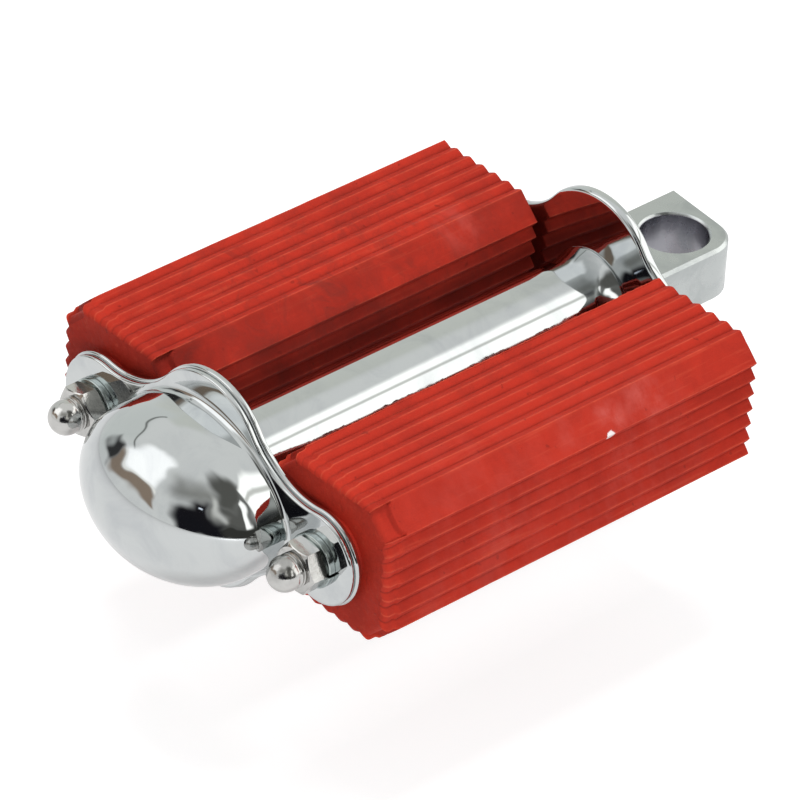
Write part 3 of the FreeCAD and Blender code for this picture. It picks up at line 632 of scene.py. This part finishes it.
def plate_outline(stud_x, ear_radius, lobe_z):
    """A quarter of the outline, from the ear's end to the lobe's top, then its mirror images."""
    ear, lobe = (stud_x, 0.0), (0.0, lobe_z)
    gap = math.dist(ear, lobe)
    to_ear, to_lobe = ear_radius + WAIST_RADIUS, LOBE_RADIUS + WAIST_RADIUS
    along = (to_ear ** 2 - to_lobe ** 2 + gap ** 2) / (2.0 * gap)
    off = math.sqrt(to_ear ** 2 - along ** 2)
    way = ((lobe[0] - ear[0]) / gap, (lobe[1] - ear[1]) / gap)
    waist = (ear[0] + along * way[0] + off * way[1], ear[1] + along * way[1] - off * way[0])
    if waist[1] < 0:
        waist = (ear[0] + along * way[0] - off * way[1], ear[1] + along * way[1] + off * way[0])
    at_ear = math.atan2(waist[1] - ear[1], waist[0] - ear[0])
    at_lobe = math.atan2(waist[1] - lobe[1], waist[0] - lobe[0])
    quarter = arc_points(ear, ear_radius, 0.0, at_ear)
    quarter += arc_points(waist, WAIST_RADIUS, at_ear - math.pi, at_lobe - math.pi, hollow=True)
    quarter += arc_points(lobe, LOBE_RADIUS, at_lobe, math.pi / 2)
    quarter.append(((0.0, lobe_z + LOBE_RADIUS), (0.0, 1.0)))
    left = [((-x, z), (-a, b)) for (x, z), (a, b) in quarter[-2::-1]]
    upper = quarter + left
    lower = [((x, -z), (a, -b)) for (x, z), (a, b) in upper[-2:0:-1]]
    return upper + lower


# %% Round the edge and fill the faces
ROUND_STEPS = 6
STUD_HOLE, STUD_SIDES = 3.25, 48
SPIGOT_HOLE, SPIGOT_SIDES = 9.3, 96


def rounded_edge(thickness, radius, inset=0.0, start=0.0):
    """(inset, height) pairs from one face to the other, round at both corners."""
    rows = []
    for k in range(ROUND_STEPS + 1):
        turn = math.pi / 2 * k / ROUND_STEPS
        rows.append((inset + radius * (1.0 - math.sin(turn)), start + radius * (1.0 - math.cos(turn))))
    return rows + [(a, 2 * start + thickness - b) for a, b in reversed(rows)]


def wall_between(made, first, second):
    """Faces that join two loops of a plate."""
    count = len(first)
    for k in range(count):
        made.faces.new((first[k], first[(k + 1) % count], second[(k + 1) % count], second[k]))


def make_plate(node, name, rows):
    low, high = box_mm(node)
    stud_x = middle_x("right_acorn_nut")
    outline = plate_outline(stud_x, high[0] - stud_x, high[2] - LOBE_RADIUS)
    holes = [(0.0, SPIGOT_HOLE, SPIGOT_SIDES)]
    holes += [(x, STUD_HOLE, STUD_SIDES) for x in (stud_x, -stud_x)]
    made = bmesh.new()
    rings = [[made.verts.new((x - a * inset, low[1] + height, z - b * inset)) for (x, z), (a, b) in outline]
             for inset, height in rows]
    for first, second in zip(rings, rings[1:]):
        wall_between(made, first, second)
    loops = []
    for ring, (_, height) in ((rings[0], rows[0]), (rings[-1], rows[-1])):
        edges = [made.edges.get(pair) for pair in zip(ring, ring[1:] + ring[:1])]
        for x, radius, sides in holes:
            loop = [made.verts.new((x + radius * math.cos(angle), low[1] + height, radius * math.sin(angle)))
                    for angle in once_round(sides)]
            edges += [made.edges.new(pair) for pair in zip(loop, loop[1:] + loop[:1])]
            loops.append(loop)
        bmesh.ops.triangle_fill(made, edges=edges, use_beauty=True)
    for first, second in zip(loops, loops[len(holes):]):
        wall_between(made, first, second)
    made.verts.index_update()
    points = [tuple(vertex.co) for vertex in made.verts]
    faces = [tuple(vertex.index for vertex in face.verts) for face in made.faces]
    made.free()
    add_piece(name, points, faces, "pedal", CHROME, node, sharp_deg=28.0)


# %% One thick sheet inboard, two sheets outboard
SHEET_SPLIT, SHEET_SET_BACK = 1.45, 0.45
THICK_ROUND, INNER_SHEET_ROUND, OUTER_SHEET_ROUND = 1.0, 0.55, 0.5
inboard_low, inboard_high = box_mm("inboard_plate")
PLATE_THICK = round(inboard_high[1] - inboard_low[1], 3)
inner_sheet = rounded_edge(SHEET_SPLIT, INNER_SHEET_ROUND)
outer_sheet = rounded_edge(PLATE_THICK - SHEET_SPLIT, OUTER_SHEET_ROUND, SHEET_SET_BACK, SHEET_SPLIT)
make_plate("inboard_plate", "inboard_end_plate", rounded_edge(PLATE_THICK, THICK_ROUND))
make_plate("outboard_plate", "outboard_end_plate", inner_sheet + outer_sheet)

# %% [markdown]
# ## The dome cap
#
# A long oval dome, pressed from sheet. A stretched sphere would be too full at its ends, so each ring of
# points is the oval shrunk towards its middle and raised to the height the dome has there. One smooth grid
# then covers it, with a single pole at the tip. At the plate the skirt turns outward in a small hollow.

# %% Dome, skirt and hollow
DOME_SKIRT, DOME_FULLNESS, SKIRT_FOOT = 6.0, 1.15, 4.6
DOME_ROWS, DOME_SIDES = 56, 224
HOLLOW_TIP, HOLLOW_SIDE, HOLLOW_REACH, HOLLOW_STEPS = 1.1, 1.9, 20.0, 8


def dome_oval(half_long, rise):
    """The dome's foot as points, and the way out at each."""
    oval, ways = [], []
    for angle in once_round(DOME_SIDES):
        up = rise * abs(math.sin(angle)) ** DOME_FULLNESS * (1 if angle < math.pi else -1)
        oval.append((half_long * math.cos(angle), up))
    for k in range(DOME_SIDES):
        (ax, az), (bx, bz) = oval[k - 1], oval[(k + 1) % DOME_SIDES]
        length = math.dist((ax, az), (bx, bz))
        ways.append(((bz - az) / length, (ax - bx) / length))
    return oval, ways


def make_dome(node, name):
    low, high = box_mm(node)
    half_long, rise = (high[0] - low[0]) / 2, (high[2] - low[2]) / 2
    foot, brim = low[1], low[1] + DOME_SKIRT
    oval, ways = dome_oval(half_long, rise)
    points = [(0.0, brim + rise, 0.0)]
    for row in range(1, DOME_ROWS + 1):
        shrink = math.sin(math.pi / 2 * row / DOME_ROWS)
        for x, z in oval:
            radius = rise * max(0.0, 1.0 - (shrink * x / half_long) ** 2) ** (DOME_FULLNESS / 2)
            height = math.sqrt(max(0.0, radius ** 2 - (shrink * z) ** 2)) if row < DOME_ROWS else 0.0
            points.append((shrink * x, brim + height, shrink * z))
    points += [(x, foot + SKIRT_FOOT, z) for x, z in oval]
    bulge = HOLLOW_SIDE - HOLLOW_TIP
    bend = [HOLLOW_TIP + bulge * max(0.0, 1.0 - (x / HOLLOW_REACH) ** 2) for x, z in oval]
    for k in range(HOLLOW_STEPS + 1):
        turn = math.pi / 2 * k / HOLLOW_STEPS
        push, lift = 1.0 - math.cos(turn), 1.0 - math.sin(turn)
        points += [(x + a * push * radius, foot + lift * radius, z + b * push * radius)
                   for (x, z), (a, b), radius in zip(oval, ways, bend)]
    faces = [(0, 1 + k, 1 + (k + 1) % DOME_SIDES) for k in range(DOME_SIDES)]
    for first in range(1, len(points) - DOME_SIDES, DOME_SIDES):
        faces += join_rings(first, first + DOME_SIDES, DOME_SIDES)
    add_piece(name, points, faces, "pedal", CHROME, node, sharp_deg=60.0)


make_dome("dome_cap", "oblong_dome")

# %% [markdown]
# ## The barrel
#
# The tube between the plates flares to a lip at each end in a hollow curve, and inside it stays open for the
# spindle. The Screw modifier could spin its profile, but the tube is rolled from sheet: on one side, where
# the sheet's edges meet, it runs straight for a few degrees before it bends again. So we spin the points
# ourselves and move those on that side.

# %% The flared tube
TUBE_RADIUS, TUBE_BORE, SPIGOT_RADIUS, TUBE_SIDES = 10.1, 7.5, 9.3, 360
LIP_RADIUS, LIP_LENGTH, FLARE_LENGTH, FLARE_STEPS, FLARE_BEND = 11.3, 0.3, 6.2, 20, 1.8
LIP_EDGE = ((0.0, 0.15), (0.08, 0.04), (0.2, 0.0))
FLAT_DEG, FLAT_END_DEG, BACK_DEG = 46.5, 64.0, 96.0
FLAT_GAP, FLAT_ROWS, HAIR = 0.6, 8, 0.01


def seamed(point):
    """A point of the tube moved to the rolled sheet's outline; angles run from the top towards +x."""
    x, out, z = point
    radius, angle = math.hypot(x, z), math.degrees(math.atan2(x, z))
    if radius < TUBE_RADIUS - HAIR or not FLAT_DEG < angle < BACK_DEG:
        return point
    straight = 1.0 / math.cos(math.radians(min(angle, FLAT_END_DEG) - FLAT_DEG))
    grow = 1.0 + (straight - 1.0) * (1.0 - smooth_step(FLAT_END_DEG, BACK_DEG, angle))
    return (x * grow, out, z * grow)


def flare_profile():
    """(distance from the plate, radius) pairs from the lip's edge to the plain tube."""
    profile = [(out, LIP_RADIUS - below) for out, below in LIP_EDGE]
    for k in range(FLARE_STEPS + 1):
        share = k / FLARE_STEPS
        proud = (LIP_RADIUS - TUBE_RADIUS) * (1.0 - share) ** FLARE_BEND
        profile.append((LIP_LENGTH + FLARE_LENGTH * share, TUBE_RADIUS + proud))
    return profile


def make_barrel(node, name):
    low, high = box_mm(node)
    start, end = low[1] + PLATE_THICK, high[1] - PLATE_THICK
    flare = flare_profile()
    ends = LIP_LENGTH + FLARE_LENGTH + FLAT_GAP
    flat_from, flat_to = start + ends, end - ends
    profile = [(low[1], SPIGOT_RADIUS), (start, SPIGOT_RADIUS)]
    profile += [(start + out, radius) for out, radius in flare]
    for k in range(FLAT_ROWS + 1):
        profile.append((flat_from + (flat_to - flat_from) * k / FLAT_ROWS, TUBE_RADIUS))
    profile += [(end - out, radius) for out, radius in reversed(flare)]
    profile += [(end, SPIGOT_RADIUS), (high[1], SPIGOT_RADIUS), (high[1], TUBE_BORE), (low[1], TUBE_BORE)]
    points, faces = [], []
    for row, (out, radius) in enumerate(profile):
        ring = [(radius * math.cos(angle), out, radius * math.sin(angle)) for angle in once_round(TUBE_SIDES)]
        straight = flat_from - HAIR < out < flat_to + HAIR
        points += [seamed(point) for point in ring] if straight else ring
        faces += join_rings(row * TUBE_SIDES, (row + 1) % len(profile) * TUBE_SIDES, TUBE_SIDES)
    add_piece(name, points, faces, "pedal", CHROME, node, sharp_deg=40.0)


make_barrel("barrel", "flared_barrel")

# %% [markdown]
# ## Acorn nuts
#
# A nut's hexagon is cut back by a cone at each end, which leaves the curved lines seen on every real nut. A
# boolean with a cone would give them too, with ragged faces. Instead, for each direction round the nut, the
# code works out how far the hexagon reaches and lowers its rim where the cone meets it. The domed top is
# spun, with two fine rings turned below it.

# %% Hexagon and dome
NUT_FLATS, NUT_HEX, NUT_DOME, NUT_BORE = 10.0, 4.4, 3.8, 3.3
NUT_SIDES, NUT_DOME_STEPS = 144, 17
CONE_REACH, CONE_SLOPE = 4.85, 0.577
EDGE_IN, EDGE_UP = 0.06, 0.08
NECK_RINGS = ((0.02, 3.76), (0.08, 3.56), (0.20, 3.54), (0.25, 3.74), (0.35, 3.80), (0.45, 3.74),
              (0.50, 3.58), (0.60, 3.58), (0.65, 3.75), (0.85, 3.80))
NUT_TURNS = {"left": 12.0, "right": -4.0}


def hexagon_rows(seat, shoulder, reach):
    """(out, radius) pairs up the hexagon, in a direction in which it reaches that far."""
    cut = max(0.0, reach - CONE_REACH) * CONE_SLOPE
    rows = [(seat, NUT_BORE), (seat, CONE_REACH), (seat + cut, reach - EDGE_IN)]
    rows += [(seat + cut + EDGE_UP, reach), (shoulder - cut - EDGE_UP, reach)]
    return rows + [(shoulder - cut, reach - EDGE_IN), (shoulder, CONE_REACH)]


def turned_rows(shoulder, dome_foot):
    """(out, radius) pairs up the neck and the dome, which are round."""
    rows = [(shoulder + (dome_foot - shoulder) * share, radius) for share, radius in NECK_RINGS]
    for k in range(NUT_DOME_STEPS):
        rise = math.pi / 2 * k / NUT_DOME_STEPS
        rows.append((dome_foot + NUT_DOME * math.sin(rise), NUT_DOME * math.cos(rise)))
    return rows


def make_acorn(node, name, turn_deg):
    low, high = box_mm(node)
    centre_x, centre_z = middle_x(node), (low[2] + high[2]) / 2
    seat, shoulder, tip = low[1], low[1] + NUT_HEX, high[1]
    turn = math.radians(turn_deg)
    columns = []
    for angle in once_round(NUT_SIDES):
        reach = NUT_FLATS / 2 / math.cos((angle % (math.pi / 3)) - math.pi / 6)
        rows = hexagon_rows(seat, shoulder, reach) + turned_rows(shoulder, tip - NUT_DOME)
        across, up = math.cos(angle + turn), math.sin(angle + turn)
        columns.append([(centre_x + radius * across, out, centre_z + radius * up) for out, radius in rows])
    points = [point for ring in zip(*columns) for point in ring]
    last = len(points) - NUT_SIDES
    faces = []
    for first in range(0, last, NUT_SIDES):
        faces += join_rings(first, first + NUT_SIDES, NUT_SIDES)
    faces += [(last + k, last + (k + 1) % NUT_SIDES, len(points)) for k in range(NUT_SIDES)]
    points.append((centre_x, tip, centre_z))
    add_piece(name, points, faces, "pedal", NICKEL, node, sharp_deg=24.0)


for side, degrees in NUT_TURNS.items():
    make_acorn(f"{side}_acorn_nut", f"{side}_domed_nut", degrees)

# %% [markdown]
# ## Solids that stay as CAD made them
#
# The lug, washers, bolts and bushes already have the right shape, so new meshes would only repeat them. They
# get a finish, and a hair of rounding on their edges: Weld joins the triangles' loose edges first, so that
# Bevel can find the corners.

# %% Soften and finish the CAD solids
NODE_FINISH = {
    "spindle": (LUG, 0.45), "inboard_thrust_washer": (ZINC, 0.1), "outboard_thrust_washer": (ZINC, 0.1),
    "tab_washer": (ZINC, 0.1), "spindle_nut": (NICKEL, 0.15), "inboard_bush": (BRONZE, 0.1),
    "outboard_bush": (BRONZE, 0.1), "left_tie_bolt": (NICKEL, 0.15), "right_tie_bolt": (NICKEL, 0.15),
    "left_bolt_washer": (ZINC, 0.15), "right_bolt_washer": (ZINC, 0.15),
    "left_spring_washer": (ZINC, 0.2), "right_spring_washer": (ZINC, 0.2),
}
WELD_GAP, BEVEL_SEGMENTS, CORNER_DEG = 0.002, 3, 32.0
for node, (finish, edge) in NODE_FINISH.items():
    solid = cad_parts[node]
    solid.data.materials.clear()
    solid.data.materials.append(finish)
    weld = solid.modifiers.new("join", "WELD")
    weld.merge_threshold = WELD_GAP * MM
    bevel = solid.modifiers.new("edges", "BEVEL")
    bevel.width = edge * MM
    bevel.segments = BEVEL_SEGMENTS
    bevel.limit_method = "ANGLE"
    bevel.angle_limit = math.radians(CORNER_DEG)
    bevel.harden_normals = True
print("finished", len(NODE_FINISH), "CAD solids")

# %% [markdown]
# ## A pale table
#
# The pedal is held by its eye, so the table lies low enough for it to turn right round. A bright lamp could
# wash the table out to white, and the rubber with it. Instead the table glows a little, only for rays from
# the camera and rays that come by way of metal, and otherwise it is a plain grey that takes the shadow.

# %% The table
FLOOR_SIZE = 6.0
TURNING_ROOM = math.hypot(cad_high.x, cad_high.z)
FLOOR_GREY, PAPER_SCALE = 0.50, 30.0
FLOOR_SEEN, FLOOR_MIRRORED = 0.76, 0.54
WHITE = (1.0, 1.0, 1.0, 1.0)


def looking_rays(tree):
    """1 for rays from the camera, and 1 for rays that arrive by way of metal or glass."""
    ray = tree.nodes.new("ShaderNodeLightPath")
    mirrored = math_out(tree, "MAXIMUM", ray.outputs["Is Glossy Ray"], ray.outputs["Is Transmission Ray"])
    return ray.outputs["Is Camera Ray"], mirrored


def floor_material():
    material, tree, shader, place = start_material("white_table")
    paper = noise_out(tree, place, PAPER_SCALE, 4.0)
    light, dark = ((grey, grey, grey, 1.0) for grey in (FLOOR_GREY * 1.02, FLOOR_GREY * 0.98))
    tree.links.new(blend_colour(tree, paper, dark, light), shader.inputs["Base Color"])
    shader.inputs["Roughness"].default_value = 0.9
    shader.inputs["Specular IOR Level"].default_value = 0.0
    shader.inputs["Emission Color"].default_value = WHITE
    seen, mirrored = looking_rays(tree)
    glow = plus(tree, times(tree, seen, FLOOR_SEEN), times(tree, mirrored, FLOOR_MIRRORED))
    tree.links.new(glow, shader.inputs["Emission Strength"])
    return material


bpy.ops.mesh.primitive_grid_add(x_subdivisions=2, y_subdivisions=2, size=FLOOR_SIZE,
                                location=(0, 0, -TURNING_ROOM))
floor = bpy.context.object
floor.name = "table"
floor.data.materials.append(floor_material())
print("table", round(TURNING_ROOM / MM, 1), "mm below the spindle")

# %% [markdown]
# ## The studio that the chrome mirrors
#
# Chrome shows what stands around it, and a plain white room would leave it flat. In a studio, pale and dark
# cards stand round a bright piece to give it shape. Real planes could do that here, but they would shade the
# rubber too. So each card is a soft patch of the world, placed by its turn round the pedal and its height,
# both in degrees, and only mirrored rays meet it: the camera sees white, and the light stays even. A wavy
# card has edges that wander, like a reflection in hand-polished metal.

# %% Angles round the pedal
WARP_DEG, WARP_SCALE, WARP_DETAIL, WARP_ROUGHNESS = 16.0, 2.6, 0.6, 0.4
WARP_SHIFT = (7.0, 3.0, 5.0)
DEGREES = 180.0 / math.pi
world = bpy.data.worlds.new("pale_room")
bpy.context.scene.world = world
world.use_nodes = True
room = world.node_tree
around = room.nodes.new("ShaderNodeTexCoord").outputs["Generated"]
way = add_node(room, "ShaderNodeSeparateXYZ", Vector=around)
turn_rad = math_out(room, "ARCTAN2", way.outputs["X"], times(room, way.outputs["Y"], -1.0))
turn_deg = times(room, turn_rad, DEGREES)
lift_deg = times(room, math_out(room, "ARCSINE", way.outputs["Z"]), DEGREES)


def wander(angle, place):
    """An angle that strays by up to half the warp to either side."""
    waves = noise_out(room, place, WARP_SCALE, WARP_DETAIL, WARP_ROUGHNESS)
    return plus(room, angle, remap(room, waves, 0.2, 0.8, -WARP_DEG / 2, WARP_DEG / 2))


warped_turn = wander(turn_deg, around)
warped_lift = wander(lift_deg, stretched_place(room, around, Location=WARP_SHIFT))
print("angles round the pedal stray by up to", WARP_DEG / 2, "degrees")

# %% Cards: name, colour, turn, height, soft margin, wavy
AMBIENT = (0.36, 0.36, 0.36, 1.0)
ROOM_WHITE = (0.92, 0.93, 0.92, 1.0)
ROOM_CARDS = (
    ("back card", (0.78, 0.80, 0.75, 1.0), (-181.0, -118.0), (-3.0, 50.0), 10.0, False),
    ("left card", (0.80, 0.83, 0.81, 1.0), (-128.0, -70.0), (0.0, 42.0), 14.0, True),
    ("left rail", (0.20, 0.21, 0.20, 1.0), (-116.0, -60.0), (39.0, 41.5), 3.0, True),
    ("left panel", (1.70, 1.70, 1.70, 1.0), (-62.0, -16.0), (27.0, 60.0), 12.0, True),
    ("brown card", (0.36, 0.28, 0.22, 1.0), (-66.0, -10.0), (8.0, 24.0), 6.0, True),
    ("bright strip", (1.25, 1.23, 1.17, 1.0), (-62.0, -10.0), (25.0, 27.5), 3.0, True),
    ("narrow card", (0.05, 0.05, 0.05, 1.0), (-75.0, -65.0), (6.0, 26.0), 5.0, True),
    ("grey band", (0.34, 0.34, 0.32, 1.0), (2.0, 118.0), (38.0, 62.0), 30.0, True),
    ("high dark card", (0.13, 0.13, 0.12, 1.0), (68.0, 122.0), (34.0, 76.0), 24.0, True),
    ("right dark card", (0.15, 0.15, 0.14, 1.0), (48.0, 118.0), (12.0, 40.0), 18.0, True),
    ("pale strip", (0.85, 0.85, 0.81, 1.0), (56.0, 68.0), (22.0, 52.0), 12.0, True),
    ("low black card", (0.05, 0.05, 0.045, 1.0), (50.0, 118.0), (-8.0, 18.0), 12.0, True),
    ("small panel", (1.80, 1.80, 1.75, 1.0), (97.0, 110.0), (17.0, 37.0), 6.0, True),
    ("key panel", (1.85, 1.85, 1.80, 1.0), (120.0, 181.0), (4.0, 51.0), 5.0, False),
    ("panel bar", (0.95, 0.95, 0.90, 1.0), (120.0, 181.0), (36.9, 41.2), 3.0, False),
    ("front black card", (0.012, 0.012, 0.016, 1.0), (15.0, 60.0), (-8.0, 25.0), 14.0, True),
    ("upper black card", (0.014, 0.013, 0.016, 1.0), (22.0, 48.0), (12.0, 40.0), 15.0, True),
    ("cool spot", (1.30, 1.40, 1.60, 1.0), (31.0, 38.0), (27.0, 30.0), 3.0, True),
)


def within(value, limits, soft):
    """1 between the limits, falling to 0 over the soft margin."""
    low, high = limits
    rising = remap(room, value, low - soft / 2, low + soft / 2, 0.0, 1.0)
    falling = remap(room, value, high - soft / 2, high + soft / 2, 1.0, 0.0)
    return times(room, rising, falling)


mirrored = ROOM_WHITE
for name, colour, turns, lifts, soft, wavy in ROOM_CARDS:
    turn, lift = (warped_turn, warped_lift) if wavy else (turn_deg, lift_deg)
    card = times(room, within(turn, turns, soft), within(lift, lifts, soft))
    mirrored = blend_colour(room, card, mirrored, colour)
camera_ray, mirror_ray = looking_rays(room)
seen = blend_colour(room, mirror_ray, AMBIENT, mirrored)
seen = blend_colour(room, camera_ray, seen, WHITE)
room.links.new(seen, room.nodes["Background"].inputs["Color"])
print("cards:", [card[0] for card in ROOM_CARDS])

# %% [markdown]
# ## Soft lamps
#
# Two soft boxes light the rubber: one overhead, and a weaker one from the right for the block's side. Sun
# lamps would cast hard shadows into the grooves. The chrome already mirrors the cards, so the lamps
# themselves stay unseen.

# %% Place the lamps
MIDDLE = (cad_low + cad_high) / 2
SOFTBOXES = (("overhead_softbox", 270.0, 84.0, 1.5, 0.6, 0.6, 14.0),
             ("side_softbox", 64.0, 12.0, 1.4, 0.5, 0.4, 10.5))


def way_towards(azimuth, elevation):
    """A direction by its turn from -y towards +x and its height, in radians."""
    level = math.cos(elevation)
    return Vector((math.sin(azimuth) * level, -math.cos(azimuth) * level, math.sin(elevation)))


for name, azimuth, elevation, distance, wide, tall, power in SOFTBOXES:
    towards = way_towards(math.radians(azimuth), math.radians(elevation))
    lamp = bpy.data.lights.new(name, "AREA")
    lamp.shape = "RECTANGLE"
    lamp.size, lamp.size_y, lamp.energy = wide, tall, power
    softbox = bpy.data.objects.new(name, lamp)
    softbox.location = MIDDLE + towards * distance
    softbox.rotation_mode = "QUATERNION"
    softbox.rotation_quaternion = (-towards).to_track_quat("-Z", "Y")
    softbox.visible_camera = False
    softbox.visible_glossy = False
    bpy.context.scene.collection.objects.link(softbox)
    print("lamp", name, "of", power, "W")

# %% [markdown]
# ## Camera
#
# The photograph was taken with a long lens from the front right, about 35 degrees up, and the camera leaned a
# little. A camera can be aimed by eye, but these values were fitted to the corners of the blocks, plates and
# lug, so that the render can be laid over the photograph.

# %% Place the camera
AIM = Vector((0.0, -0.075, 0.0))
AZIMUTH, ELEVATION, LEAN = (math.radians(value) for value in (46.090, 34.828, 3.419))
DISTANCE, FOCAL_PIXELS, IMAGE_PIXELS = 1.37109, 6639.75, 800.0
CENTRE_U, CENTRE_V = 410.412, 382.037
back = way_towards(AZIMUTH, ELEVATION)
right = Vector((math.cos(AZIMUTH), math.sin(AZIMUTH), 0.0))
up = back.cross(right)
across = math.cos(LEAN) * right + math.sin(LEAN) * up
upward = -math.sin(LEAN) * right + math.cos(LEAN) * up
lens = bpy.data.cameras.new("photo_camera")
lens.sensor_width = 36.0
lens.lens = FOCAL_PIXELS / IMAGE_PIXELS * lens.sensor_width
lens.shift_x = (IMAGE_PIXELS / 2 - CENTRE_U) / IMAGE_PIXELS
lens.shift_y = (CENTRE_V - IMAGE_PIXELS / 2) / IMAGE_PIXELS
lens.clip_start, lens.clip_end = 0.05, 20.0
camera = bpy.data.objects.new("photo_camera", lens)
turned = Matrix((across, upward, back)).transposed().to_4x4()
turned.translation = AIM + back * DISTANCE
camera.matrix_world = turned
bpy.context.scene.collection.objects.link(camera)
bpy.context.scene.camera = camera
bpy.context.scene.view_settings.view_transform = "Standard"
print("lens", round(lens.lens, 1), "mm at", round(DISTANCE, 3), "m")
